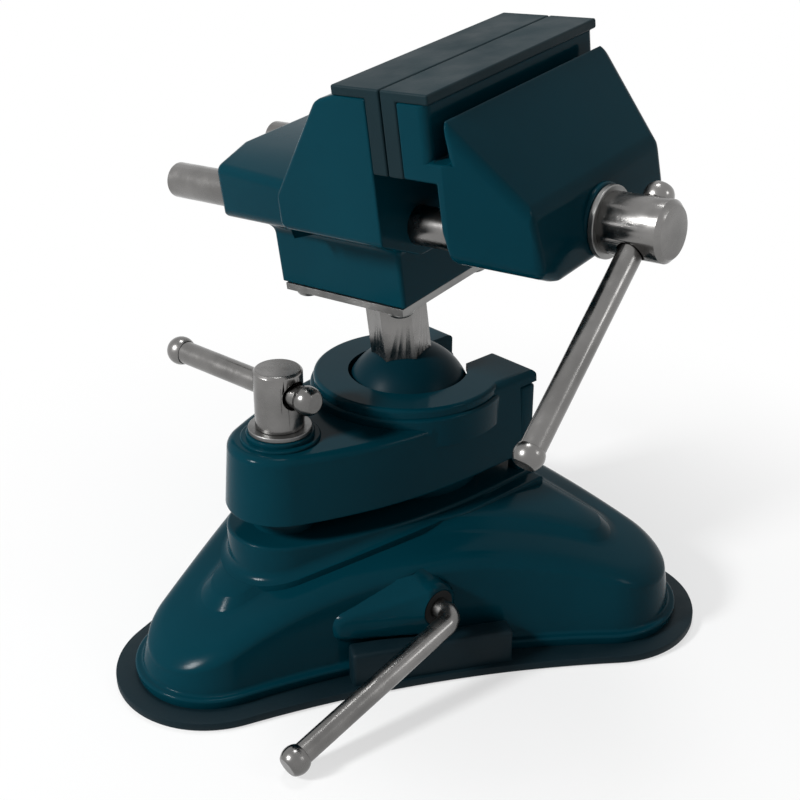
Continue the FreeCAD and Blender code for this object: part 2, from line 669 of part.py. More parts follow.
def make_base_casting():
    deep = S.dome_top + S.plateau_step
    flange_lobe = S.casting_lobe + S.skirt_flange
    flange_waist = S.casting_waist + S.skirt_flange
    hollow_lobe = S.casting_lobe - S.base_wall
    hollow_waist = S.casting_waist - S.base_wall
    hollow_top = S.tower_top - S.base_wall
    shell = common(
        "casting_shell",
        three_lobes("casting_wall", S.casting_lobe, S.casting_waist, ZERO, S.pad_thick, deep, S.wall_draft),
        dome("casting_dome", ZERO),
    )
    panel = common(
        "casting_panel",
        three_lobes("panel_wall", S.plateau_lobe, S.plateau_waist, S.plateau_pull, S.base_wall, deep),
        dome("panel_dome", S.plateau_step),
    )
    flange = three_lobes("casting_flange", flange_lobe, flange_waist, ZERO, S.pad_thick, S.flange_height)
    hump = shaft_hump()
    ledge_half = S.keel_half_width + S.collar_grow
    ledge = fuse(
        "tower_ledge",
        squared_off(
            "ledge_ring",
            rod("ledge_round", ledge_half, S.collar_top - S.base_wall, (ZERO, ZERO, S.base_wall)),
            ledge_half,
            (S.base_wall, S.collar_top),
        ),
        block("ledge_rear", (ZERO, S.keel_rear), (-ledge_half, ledge_half), (S.base_wall, S.collar_top)),
    )
    tower = keel("tower", S.base_wall, S.tower_top, ZERO, S.keel_rear)
    outside = fuse("casting_outside", shell, panel, flange, hump, ledge, tower)
    skirt_hollow = common(
        "skirt_hollow",
        three_lobes("hollow_wall", hollow_lobe, hollow_waist, ZERO, ZERO, deep, S.wall_draft),
        dome("hollow_dome", -S.base_wall),
    )
    tower_hollow = keel("tower_hollow", S.base_wall, hollow_top, -S.base_wall, S.keel_rear - S.base_wall)
    nut_column = rod(
        "nut_column",
        S.nut_boss,
        hollow_top + S.press_gap - S.nut_boss_bottom,
        (-S.keel_nose, ZERO, S.nut_boss_bottom),
    )
    boss = rod(
        "screw_boss_round",
        S.screw_boss,
        S.screw_boss_top - hollow_top,
        (-S.keel_nose, ZERO, hollow_top),
    )
    bearing = block(
        "shaft_bearing",
        (SHAFT_X - S.pillar_half, SHAFT_X + S.pillar_half),
        (S.pillar_near, S.pillar_far),
        (S.shaft_height - S.pillar_half, hollow_top + S.press_gap),
    )
    cup = rod("lower_cup", S.cup_radius, S.cup_rim - S.cup_root, (ZERO, ZERO, S.cup_root))
    posts = [
        block(
            "hinge_post_" + side,
            (S.keel_rear - S.hinge_post_depth, S.keel_rear),
            (low, high),
            (hollow_top, S.hinge_post_top),
        )
        for side, low, high in (
            ("near", -S.hinge_post_outer, -S.hinge_post_inner),
            ("far", S.hinge_post_inner, S.hinge_post_outer),
        )
    ]
    hollowed = cut("casting_open", outside, skirt_hollow, tower_hollow)
    metal = fuse("casting_metal", hollowed, nut_column, boss, bearing, cup, *posts)
    nut_top = S.nut_boss_bottom + S.nut_thick
    tools = [
        sphere("cup_seat", S.ball_radius + S.socket_gap, (ZERO, ZERO, S.ball_height)),
        rod(
            "clamp_drilling",
            S.clamp_thread + S.clamp_hole_gap,
            S.screw_boss_top,
            (-S.keel_nose, ZERO, S.base_wall),
        ),
        hexagon("nut_pocket", S.nut_flats + S.nut_pocket_gap * 2, nut_top, (-S.keel_nose, ZERO, ZERO)),
        rod(
            "bush_drilling",
            S.bush_radius + S.press_gap,
            S.pillar_far + S.hump_face + S.overrun * 2,
            (SHAFT_X, -S.hump_face - S.overrun, S.shaft_height),
            ALONG_Y,
        ),
        block(
            "strap_room",
            (CAM_X - WINDOW_X - S.strap_bar - S.strap_room, CAM_X + WINDOW_X + S.strap_bar + S.strap_room),
            (-S.strap_thick / 2 - S.strap_room, S.strap_thick / 2 + S.strap_room),
            (S.shaft_height, STRAP_TOP + S.strap_room),
        ),
        beside(
            "tab_notch",
            S.tab_length / 2 + S.soft_gap,
            S.tab_inner - S.soft_gap,
            S.tab_outer + S.overrun,
            ZERO,
            S.tab_top + S.soft_gap,
        ),
    ]
    for side, sign in (("near", -UNIT), ("far", UNIT)):
        tools.append(hinge_pin("post_pin_hole_" + side, sign, S.hinge_pin_radius + S.press_gap))
    piece("base_casting", cut("casting_finished", metal, *tools))


def hinge_pin(name, sign, radius):
    """A rod where the cap's hinge pin goes on one side."""
    start = (HINGE_X, sign * S.hinge_pin_inner, S.hinge_pin_height)
    return rod(name, radius, S.hinge_pin_outer - S.hinge_pin_inner, start, ALONG_Y * sign.value)


def make_clamp():
    """The cap over the ball, its hinge pins, its screw with washer and nut, and the bar through it."""
    axis = -S.keel_nose
    wide = S.keel_half_width
    ring = fuse(
        "cap_rings",
        rod("cap_ring", wide, S.cap_ring_top - S.cap_nose_top, (ZERO, ZERO, S.cap_nose_top)),
        rod("cap_step", wide + S.ring_step_out, S.ring_step, (ZERO, ZERO, S.cap_nose_top)),
    )
    walls = cut(
        "cap_walls",
        keel("cap_outline", S.cap_bottom, S.cap_ring_top, ZERO, S.keel_rear + S.overrun, S.cap_draft),
        block(
            "over_nose",
            (axis - S.nose_radius - S.overrun, ZERO),
            (-wide, wide),
            (S.cap_nose_top, S.cap_ring_top + S.overrun),
        ),
        block(
            "behind_rear",
            (S.keel_rear, S.keel_rear + S.overrun * 2),
            (-wide - S.overrun, wide + S.overrun),
            (S.cap_bottom - S.overrun, S.cap_ring_top + S.overrun),
        ),
    )
    low = S.cap_nose_top - S.ring_step
    metal = fuse(
        "cap_metal",
        walls,
        squared_off("cap_round", ring, wide + S.ring_step_out, (S.cap_nose_top, S.cap_ring_top)),
        rod("cap_seat", S.washer_seat, S.washer_seat_height + S.ring_step, (axis, ZERO, low)),
        rod("cap_boss", S.washer_boss, S.washer_boss_height + S.ring_step, (axis, ZERO, low)),
    )
    notch_inner = S.hinge_post_inner - S.hinge_gap
    notch_x = (S.keel_rear - S.hinge_post_depth - S.hinge_gap, S.keel_rear + S.overrun)
    notch_z = (S.cap_bottom - S.overrun, S.hinge_post_top + S.hinge_gap)
    pocket_top = S.cup_rim + S.cup_headroom
    ball_gap = S.ball_radius + S.socket_gap
    tools = [
        sphere("cap_ball_seat", ball_gap, (ZERO, ZERO, S.ball_height)),
        rod(
            "cap_hole",
            S.ring_hole,
            S.cap_ring_top - S.ball_height + S.overrun * 2,
            (ZERO, ZERO, S.ball_height),
        ),
        rod(
            "cap_bore",
            ball_gap + S.cap_bore_gap,
            S.ball_radius,
            (ZERO, ZERO, S.ball_height - S.ball_radius),
        ),
        rod(
            "cap_pocket",
            S.cup_radius + S.cup_clearance,
            pocket_top - S.tower_top,
            (ZERO, ZERO, S.tower_top),
        ),
        block(
            "cap_slot",
            (ZERO, S.keel_rear + S.overrun),
            (-S.slot_half_width, S.slot_half_width),
            (S.tower_top, S.cap_ring_top + S.overrun),
        ),
        rod(
            "cap_drilling",
            S.clamp_thread + S.hole_fit,
            S.cap_ring_top - S.tower_top,
            (axis, ZERO, S.tower_top),
        ),
        block("notch_near", notch_x, (-wide - S.overrun, -notch_inner), notch_z),
        block("notch_far", notch_x, (notch_inner, wide + S.overrun), notch_z),
    ]
    for side, sign in (("near", -UNIT), ("far", UNIT)):
        tools.append(hinge_pin("cap_pin_hole_" + side, sign, S.hinge_pin_radius + S.running_fit))
    piece("clamp_cap", cut("cap_finished", metal, *tools))
    near_pin = hinge_pin("pin_near", -UNIT, S.hinge_pin_radius)
    piece("clamp_pins", group("hinge_pins", near_pin, hinge_pin("pin_far", UNIT, S.hinge_pin_radius)))

    washer_low = S.cap_nose_top + S.washer_boss_height
    head_low = washer_low + S.clamp_washer_thick
    head_top = head_low + S.clamp_head_length
    screw = turned(
        "clamp_screw_turned",
        [
            (ZERO, S.clamp_tip),
            (S.clamp_thread - S.edge_break, S.clamp_tip),
            (S.clamp_thread, S.clamp_tip + S.edge_break),
            (S.clamp_thread, head_low),
            (S.clamp_head, head_low),
            (S.clamp_head, head_top - S.edge_break),
            (S.clamp_head - S.edge_break, head_top),
            (ZERO, head_top),
        ],
    )
    placed = seat(group("clamp_screw_placed", screw), (axis, ZERO, ZERO))
    bar_z = head_top - S.clamp_bar_drop
    direction = (cosine(S.clamp_bar_turn), sine(S.clamp_bar_turn), ZERO)
    reach = S.clamp_washer_radius
    start = along_line((axis, ZERO, bar_z), direction, -reach)
    hole = rod("clamp_bar_hole", S.clamp_bar + S.clamp_bar_room, reach * 2, start, vector(*direction))
    piece("clamp_screw", cut("clamp_screw_drilled", placed, hole))
    washer = rod("washer_round", reach, S.clamp_washer_thick, (axis, ZERO, washer_low))
    pressed = S.clamp_thread + S.press_gap
    below = (axis, ZERO, washer_low - S.overrun)
    washer_hole = rod("washer_hole", pressed, S.clamp_washer_thick + S.overrun * 2, below)
    piece("clamp_washer", cut("washer_bored", washer, washer_hole))
    toggle_bar(
        "clamp_handle",
        (axis, ZERO, bar_z),
        direction,
        S.clamp_bar,
        S.clamp_bar_ball,
        S.clamp_bar_near,
        S.clamp_bar_reach,
    )
    nut = hexagon("clamp_nut_bar", S.nut_flats, S.nut_thick, (axis, ZERO, S.nut_boss_bottom))
    nut_hole = rod("clamp_nut_hole", S.clamp_thread + S.clamp_hole_gap, S.tower_top, (axis, ZERO, ZERO))
    piece("clamp_nut", cut("clamp_nut_bored", nut, nut_hole))


def make_suction():
    """The rubber sheet with its pull tab, and the plate and strap that lift its middle."""
    centre = (SHAFT_X, ZERO)
    sheet_edge = three_lobes("pad_sheet", S.pad_lobe, S.pad_waist, ZERO, ZERO, S.pad_thick)
    bump = frustum(
        "pad_bump",
        (S.recess_radius + S.pad_thick, S.recess_roof + S.pad_thick),
        S.recess_height,
        (*centre, S.pad_thick),
    )
    recess = frustum("pad_recess", (S.recess_radius, S.recess_roof), S.recess_height, (*centre, ZERO))
    tab = beside("pull_tab", S.tab_length / 2, S.tab_inner, S.tab_outer, ZERO, S.tab_top)
    piece("suction_pad", cut("pad_hollowed", fuse("pad_rubber", sheet_edge, bump, tab), recess))

    plate_low = S.recess_height + S.pad_thick
    plate_top = plate_low + S.lift_plate_thick
    foot_top = plate_top + S.strap_foot_thick
    rivets = []
    holes = []
    for side, sign in (("near", -UNIT), ("far", UNIT)):
        y = sign * S.rivet_place
        shank = rod("rivet_" + side, S.rivet_radius, foot_top - plate_low, (SHAFT_X, y, plate_low))
        head = rod("rivet_head_" + side, S.rivet_head, S.rivet_head_thick, (SHAFT_X, y, foot_top))
        rivets.append(fuse("rivet_whole_" + side, shank, head))
        radius = S.rivet_radius + S.press_gap
        holes.append(rod("rivet_hole_" + side, radius, foot_top, (SHAFT_X, y, plate_low)))
    drilled = fuse("rivet_holes", *holes)
    disc = rod("lift_disc", S.lift_plate_radius, S.lift_plate_thick, (*centre, plate_low))
    piece("lift_plate", cut("lift_disc_drilled", disc, drilled))
    piece("strap_rivets", group("rivets", *rivets))

    outer_x = (CAM_X - WINDOW_X - S.strap_bar, CAM_X + WINDOW_X + S.strap_bar)
    half = S.strap_thick / 2
    strap = fuse(
        "strap_metal",
        block("strap_upright", outer_x, (-half, half), (plate_top, STRAP_TOP)),
        block(
            "strap_foot_bar",
            (SHAFT_X - S.strap_bar, SHAFT_X + S.strap_bar),
            (-S.strap_foot, S.strap_foot),
            (plate_top, foot_top),
        ),
    )
    window = block(
        "strap_window",
        (CAM_X - WINDOW_X, CAM_X + WINDOW_X),
        (-S.strap_thick, S.strap_thick),
        (CAM_Z - WINDOW_Z, CAM_Z + WINDOW_Z),
    )
    piece("lift_strap", cut("strap_finished", strap, window, drilled))


def make_lever():
    """The bent suction lever with its end ball, eccentric, pin, bushes and retaining ring."""
    down = (-cosine(S.lever_drop), ZERO, -sine(S.lever_drop))
    corner = (SHAFT_X, -S.lever_out, S.shaft_height)
    bend = S.lever_bend
    shaft_start = -S.lever_out + bend
    shaft = rod(
        "lever_shaft",
        S.lever_bar,
        S.shaft_inner_end - shaft_start,
        (SHAFT_X, shaft_start, S.shaft_height),
        ALONG_Y,
    )
    turn = doc.addObject("Part::Torus", "lever_bend")
    turn.Angle3 = 90
    bind(turn, "Radius1", bend)
    bind(turn, "Radius2", S.lever_bar)
    handle_way = vector(*down)
    bend_turn = FreeCAD.Rotation(handle_way * -1, ALONG_Y * -1, handle_way.cross(ALONG_Y), "XYZ")
    bend_x, bend_y, bend_z = along_line(corner, down, bend)
    seat(turn, (bend_x, bend_y + bend, bend_z), bend_turn)
    arm = rod("lever_arm", S.lever_bar, S.lever_length - bend, (bend_x, bend_y, bend_z), handle_way)
    pin_y = (S.cam_half + S.cam_hub_end) / 2
    pin_at = (SHAFT_X, pin_y, S.shaft_height - S.cam_hub)
    pin_hole = rod("cam_pin_hole", S.cam_pin_radius + S.press_gap, S.cam_hub * 2, pin_at)
    piece("suction_lever", cut("lever_drilled", fuse("lever_metal", shaft, turn, arm), pin_hole))
    ball_at = along_line(corner, down, S.lever_length)
    piece("lever_ball", end_ball("lever_end_ball", S.lever_ball_radius, S.lever_bar, ball_at, handle_way))
    piece("cam_pin", rod("cam_pin_rod", S.cam_pin_radius, S.cam_hub * 2, pin_at))

    def around_shaft(name, radius, start, end, x=SHAFT_X, z=S.shaft_height):
        return rod(name, radius, end - start, (x, start, z), ALONG_Y)

    eccentric = around_shaft("cam_disc", S.cam_radius, -S.cam_half, S.cam_half, CAM_X, CAM_Z)
    hub = around_shaft("cam_hub_round", S.cam_hub, S.cam_half, S.cam_hub_end)
    pressed = S.lever_bar + S.press_gap
    cam_bore = around_shaft("cam_bore", pressed, -S.cam_hub_end, S.cam_hub_end + S.overrun)
    piece("lever_cam", cut("cam_finished", fuse("cam_metal", eccentric, hub), cam_bore, pin_hole))
    near_end = -S.hump_face + S.bush_length
    bushes = fuse(
        "bush_tubes",
        around_shaft("bush_near", S.bush_radius, -S.hump_face, near_end),
        around_shaft("bush_far", S.bush_radius, S.pillar_near, S.pillar_far),
    )
    bush_bore = around_shaft("bush_bore", S.lever_bar + S.running_fit, -S.lever_out, S.shaft_inner_end)
    piece("lever_bushes", cut("bushes_bored", bushes, bush_bore))
    ring = around_shaft("lever_ring", S.clip_radius, S.pillar_far, S.pillar_far + S.clip_thick)
    ring_bore = around_shaft("lever_ring_bore", pressed, ZERO, S.shaft_inner_end)
    piece("lever_clip", cut("lever_ring_bored", ring, ring_bore))


# The head is drawn with the ball's centre at the origin, the jaws' width along X and the fixed jaw on the
# +Y side. It is then leaned and turned into the photographed pose.

LEAN = FreeCAD.Rotation(ALONG_X, S.lean_side.value) * FreeCAD.Rotation(ALONG_Y, S.lean_nose.value)
STEM = FreeCAD.Placement(vector(ZERO, ZERO, S.ball_height), LEAN)
HEAD = FreeCAD.Placement(vector(ZERO, ZERO, S.ball_height), LEAN * FreeCAD.Rotation(UP, S.swivel.value))
PLATE_LOW = S.post_top + S.plate_gap
PLATE_TOP = PLATE_LOW + S.plate_thick
FACE = S.jaw_gap / 2
SEAT_FACE = S.jaw_gap / 2 + S.pad_face
ROD_Z = S.jaw_top - S.rod_drop


def out(distance):
    """Y of a point so far behind the line where the pads meet."""
    return distance - S.jaw_line


def front(distance):
    """Y of a point so far in front of that line."""
    return -distance - S.jaw_line


def down(drop):
    """Z of a point so far below the pads' top."""
    return S.jaw_top - drop


def lengthwise(name, points, half):
    """A side view of a jaw, as wide as the jaw."""
    return prism(name, points, half * 2, (-half, ZERO, ZERO), UPRIGHT_YZ)


def y_rod(name, radius, start, end, x=ZERO, z=ROD_Z):
    return rod(name, radius, end - start, (x, start, z), ALONG_Y)


def four_corners(name, radius, bottom, height):
    """Four rods at the corners of the mounting plate."""
    place = S.plate_screw_place
    rods = []
    for index, (x, y) in enumerate(((-place, -place), (place, -place), (place, place), (-place, place))):
        rods.append(rod(name + "_" + str(index), radius, height, (x, y, bottom)))
    return group(name, *rods)


def make_stem():
    """The ball, the hexagonal post that stands in it and the bolt that holds the head."""
    piece("ball", sphere("ball_round", S.ball_radius, (ZERO, ZERO, S.ball_height)))
    turn = S.post_turn
    bar = hexagon("post_bar", S.post_flats, S.post_top, (ZERO, ZERO, ZERO), turn)
    foot = sphere("post_foot", S.ball_radius + S.post_foot_gap, (ZERO, ZERO, ZERO))
    bolt_low = S.post_top - S.post_bolt_depth
    bore_radius = S.post_bolt_radius + S.press_gap
    bore = rod("post_bore", bore_radius, S.ball_height, (ZERO, ZERO, bolt_low))
    piece("hex_post", cut("post_finished", bar, foot, bore), STEM)
    head_low = PLATE_TOP + S.plate_gap
    head_top = head_low + S.post_bolt_head_thick
    bolt = turned(
        "post_bolt_turned",
        [
            (ZERO, bolt_low),
            (S.post_bolt_radius, bolt_low),
            (S.post_bolt_radius, head_low),
            (S.post_bolt_head, head_low),
            (S.post_bolt_head, head_top - S.edge_break),
            (S.post_bolt_head - S.edge_break, head_top),
            (ZERO, head_top),
        ],
    )
    piece("post_bolt", bolt, STEM)


def make_fixed_jaw():
    """The mounting plate with its screws, and the fixed jaw with its tail, pad and lead nut."""
    half = S.plate_half
    plate = block("plate_square", (-half, half), (-half, half), (PLATE_LOW, PLATE_TOP))
    shanks = four_corners("plate_holes", S.plate_screw_radius + S.press_gap, PLATE_LOW, S.plate_screw_depth)
    centre_hole = rod("plate_bore", S.post_bolt_radius + S.running_fit, PLATE_TOP, (ZERO, ZERO, ZERO))
    piece("mount_plate", cut("plate_drilled", plate, shanks, centre_hole), HEAD)
    head_thick = S.plate_screw_head_thick
    heads = four_corners("screw_heads", S.plate_screw_head, PLATE_LOW - head_thick, head_thick)
    threads = four_corners("screw_threads", S.plate_screw_radius, PLATE_LOW, S.plate_screw_depth)
    piece("plate_screws", fuse("four_screws", heads, threads), HEAD)

    web = lengthwise(
        "jaw_web",
        [
            (out(SEAT_FACE), down(S.web_bottom)),
            (out(S.web_heel_out), down(S.web_bottom)),
            (out(S.web_heel_out), down(S.web_heel_drop)),
            (out(S.web_shoulder_out), down(S.web_shoulder_drop)),
            (out(S.pad_rear_cover), down(S.pad_skin)),
            (out(SEAT_FACE), down(S.pad_skin)),
        ],
        S.jaw_half_width,
    )
    under = prism(
        "jaw_underside",
        [
            (-S.jaw_half_width, down(S.web_bottom)),
            (-S.block_half, down(S.web_foot)),
            (S.block_half, down(S.web_foot)),
            (S.jaw_half_width, down(S.web_bottom)),
        ],
        S.web_heel_out - SEAT_FACE,
        (ZERO, out(S.web_heel_out), ZERO),
        UPRIGHT_XZ,
    )
    foot = block(
        "jaw_block",
        (-S.block_half, S.block_half),
        (out(S.block_near), out(S.block_far)),
        (PLATE_TOP, down(S.web_bottom)),
    )
    tail_section = prism(
        "tail_section",
        [
            (-S.tail_half, down(S.tail_side_bottom)),
            (-S.tail_bottom_half, down(S.tail_bottom)),
            (S.tail_bottom_half, down(S.tail_bottom)),
            (S.tail_half, down(S.tail_side_bottom)),
            (S.tail_half, down(S.tail_shoulder)),
            (S.tail_ridge_half, down(S.tail_ridge)),
            (-S.tail_ridge_half, down(S.tail_ridge)),
            (-S.tail_half, down(S.tail_shoulder)),
        ],
        S.tail_end - S.tail_near,
        (ZERO, out(S.tail_end), ZERO),
        UPRIGHT_XZ,
    )
    tail_plan = prism(
        "tail_plan",
        [
            (-S.tail_half, out(S.tail_near)),
            (S.tail_half, out(S.tail_near)),
            (S.tail_half_rear, out(S.tail_end)),
            (-S.tail_half_rear, out(S.tail_end)),
        ],
        S.jaw_top,
        (ZERO, ZERO, ZERO),
    )
    casting = fuse("jaw_metal", web, under, foot)
    nut_start = SEAT_FACE + S.nut_sunk
    nut_end = nut_start + S.nut_length
    rod_bore = S.rod_radius + S.running_fit
    nut_box = [(-S.nut_half, S.nut_half), (ROD_Z - S.nut_half, ROD_Z + S.nut_half)]
    bores = group(
        "jaw_bores",
        y_rod("near_rod_bore", rod_bore, front(S.overrun), out(S.rod_rear), -S.rod_place),
        y_rod("far_rod_bore", rod_bore, front(S.overrun), out(S.rod_rear), S.rod_place),
        y_rod("screw_tunnel", S.screw_radius + S.screw_room, front(S.overrun), out(S.rod_rear)),
    )
    tail = cut("tail_behind_jaw", common("tail_whole", tail_section, tail_plan), casting)
    piece("jaw_tail", cut("jaw_tail_bored", tail, bores), HEAD)
    tools = [
        bores,
        block("nut_mortise", nut_box[0], (out(ZERO), out(nut_end)), nut_box[1]),
        rod(
            "nut_screw_drilling",
            S.nut_screw_radius + S.press_gap,
            S.nut_screw_length,
            (ZERO, out(S.nut_screw_out), down(S.web_foot)),
        ),
        four_corners("block_drillings", S.plate_screw_radius + S.press_gap, PLATE_LOW, S.plate_screw_depth),
        rod("bolt_room", S.bolt_recess, S.plate_thick + S.bolt_recess_depth, (ZERO, ZERO, PLATE_LOW)),
    ]
    piece("fixed_jaw", cut("fixed_jaw_finished", casting, *tools), HEAD)
    nut = block("lead_nut_bar", nut_box[0], (out(nut_start), out(nut_end)), nut_box[1])
    nut_bore = y_rod("lead_nut_bore", S.screw_radius + S.running_fit, out(ZERO), out(S.tail_near))
    piece("lead_nut", cut("lead_nut_bored", nut, nut_bore, nut_screw("nut_screw_hole", S.press_gap)), HEAD)
    piece("nut_screw", nut_screw("nut_screw_rod", ZERO), HEAD)
    pad = lengthwise(
        "fixed_pad_section",
        [
            (out(FACE), down(S.pad_depth)),
            (out(SEAT_FACE), down(S.pad_depth)),
            (out(SEAT_FACE), down(S.pad_skin)),
            (out(S.pad_rear_cover), down(S.pad_skin)),
            (out(S.pad_rear_cover), S.jaw_top),
            (out(FACE), S.jaw_top),
        ],
        S.jaw_half_width,
    )
    piece("fixed_jaw_pad", pad, HEAD)


def nut_screw(name, gap):
    """The small screw under the lead nut."""
    at = (ZERO, out(S.nut_screw_out), down(S.web_foot))
    return rod(name, S.nut_screw_radius + gap, S.nut_screw_length, at)


def make_moving_jaw():
    """The moving jaw with its pad, and the two guide rods pinned into it."""
    section = lengthwise(
        "moving_section",
        [
            (front(S.face_out), down(S.pad_depth)),
            (front(S.waist_out), down(S.waist_drop)),
            (front(S.heel_out), down(S.heel_drop)),
            (front(S.foot_out), down(S.foot_drop)),
            (front(S.nose_out), down(S.foot_drop)),
            (front(S.nose_out), down(S.nose_drop)),
            (front(S.slope_out), down(S.slope_drop)),
            (front(S.body_top_out), down(S.body_top_drop)),
            (front(S.channel_out), down(S.channel_drop)),
            (front(S.plate_back), down(S.channel_drop)),
            (front(S.plate_back), down(S.pad_skin)),
            (front(SEAT_FACE), down(S.pad_skin)),
            (front(SEAT_FACE), down(S.pad_depth)),
        ],
        S.jaw_half_width,
    )
    plan = prism(
        "moving_plan",
        [
            (-S.jaw_half_width, front(ZERO)),
            (-S.jaw_half_width, front(S.body_top_out)),
            (-S.nose_half, front(S.nose_out)),
            (S.nose_half, front(S.nose_out)),
            (S.jaw_half_width, front(S.body_top_out)),
            (S.jaw_half_width, front(ZERO)),
        ],
        S.jaw_top,
        (ZERO, ZERO, ZERO),
    )
    end_view = prism(
        "moving_end_view",
        [
            (-S.jaw_half_width, down(S.web_bottom)),
            (-S.block_half, down(S.foot_drop)),
            (S.block_half, down(S.foot_drop)),
            (S.jaw_half_width, down(S.web_bottom)),
            (S.jaw_half_width, S.jaw_top),
            (-S.jaw_half_width, S.jaw_top),
        ],
        S.nose_out,
        (ZERO, out(ZERO), ZERO),
        UPRIGHT_XZ,
    )
    boss = y_rod("moving_boss", S.nose_boss, front(S.nose_out), front(S.rod_front))
    tools = [
        y_rod("screw_hole", S.screw_radius + S.hole_fit, front(S.collar_radius + S.rod_front), out(ZERO)),
        y_rod("clip_counterbore", S.clip_ring + S.clip_room, front(S.clip_seat), out(ZERO)),
    ]
    socket = S.rod_radius + S.press_gap
    pin_hole = S.rod_pin_radius + S.press_gap
    rods = []
    pins = []
    holes = []
    for side, x in (("near", -S.rod_place), ("far", S.rod_place)):
        tools.append(y_rod("rod_socket_" + side, socket, front(S.rod_front), out(ZERO), x))
        rods.append(y_rod("guide_rod_" + side, S.rod_radius, front(S.rod_front), out(S.rod_rear), x))
        at = (x, front(S.rod_pin_place), ROD_Z - S.rod_pin_half)
        pins.append(rod("rod_pin_" + side, S.rod_pin_radius, S.rod_pin_half * 2, at))
        below = (x, front(S.rod_pin_place), ROD_Z - S.rod_pin_half - S.overrun)
        holes.append(rod("rod_pin_hole_" + side, pin_hole, S.rod_pin_half * 2 + S.overrun, below))
    drilled = group("rod_pin_holes", *holes)
    body = common("moving_metal", fuse("moving_bossed", section, boss), plan, end_view)
    piece("moving_jaw", cut("moving_jaw_finished", body, *tools, drilled), HEAD)
    piece("guide_rods", cut("rods_drilled", group("two_rods", *rods), drilled), HEAD)
    piece("rod_pins", group("two_rod_pins", *pins), HEAD)
    pad = lengthwise(
        "moving_pad_section",
        [
            (front(FACE), down(S.pad_depth)),
            (front(FACE), S.jaw_top),
            (front(S.pad_front_cover), S.jaw_top),
            (front(S.pad_front_cover), down(S.pad_skin)),
            (front(SEAT_FACE), down(S.pad_skin)),
            (front(SEAT_FACE), down(S.pad_depth)),
        ],
        S.jaw_half_width,
    )
    piece("moving_jaw_pad", pad, HEAD)


def make_main_screw():
    """The main screw with its washer and retaining ring, and the bar through its head."""
    seat_out = S.nose_out + S.running_fit
    head_start = seat_out + S.collar_thick
    head_end = head_start + S.head_length
    screw = turned(
        "main_screw_turned",
        [
            (ZERO, -head_end),
            (S.head_radius - S.head_break, -head_end),
            (S.head_radius, S.head_break - head_end),
            (S.head_radius, -head_start),
            (S.screw_radius, -head_start),
            (S.screw_radius, S.screw_end - S.edge_break),
            (S.screw_radius - S.edge_break, S.screw_end),
            (ZERO, S.screw_end),
        ],
    )
    turn = FreeCAD.Rotation(UP, ALONG_Y)
    placed = seat(group("main_screw_placed", screw), (ZERO, -S.jaw_line, ROD_Z), turn)
    direction = (-cosine(S.bar_slope), ZERO, -sine(S.bar_slope))
    centre = (ZERO, front(S.bar_out), ROD_Z)
    start = along_line(centre, direction, -S.collar_radius)
    hole = rod("main_bar_hole", S.bar_radius + S.bar_room, S.collar_radius * 2, start, vector(*direction))
    piece("lead_screw", cut("main_screw_drilled", placed, hole), HEAD)
    pressed = S.screw_radius + S.press_gap
    collar = y_rod("collar_round", S.collar_radius, front(head_start), front(seat_out))
    collar_bore = y_rod("collar_bore", pressed, front(head_end), out(ZERO))
    piece("screw_collar", cut("collar_bored", collar, collar_bore), HEAD)
    ring_out = S.clip_seat - S.running_fit
    ring = y_rod("clip_round", S.clip_ring, front(ring_out), front(ring_out - S.clip_thick))
    ring_bore = y_rod("clip_bore", pressed, front(head_end), out(ZERO))
    piece("screw_clip", cut("clip_bored", ring, ring_bore), HEAD)
    near = S.head_radius + S.bar_rest
    toggle_bar("screw_handle", centre, direction, S.bar_radius, S.bar_ball, near, S.bar_reach, HEAD)


def check_and_write():
    """Stops at any broken object, then writes one STEP file for each piece."""
    doc.recompute()
    for item in doc.Objects:
        if "Invalid" in item.State or "Error" in item.State:
            raise RuntimeError(item.Name + " is " + ", ".join(item.State))
    os.makedirs("parts", exist_ok=True)
    for node, item in pieces.items():
        shape = item.Shape
        if shape.isNull() or not shape.isValid() or not shape.Solids:
            raise RuntimeError(node + " has no valid solid")
        Part.getShape(item).exportStep("parts/" + node + ".step")
        print(node, len(shape.Solids), shape.BoundBox)


make_base_casting()
make_suction()
make_lever()
make_clamp()
make_stem()
make_fixed_jaw()
make_moving_jaw()
make_main_screw()
check_and_write()
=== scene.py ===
"""Looks for a small suction base vise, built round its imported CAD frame."""

from __future__ import annotations

import json
import logging
import math
from dataclasses import dataclass, field
from enum import Enum
from typing import Callable, Sequence

import bmesh
import bpy
import numpy as np
from mathutils import Matrix, Vector

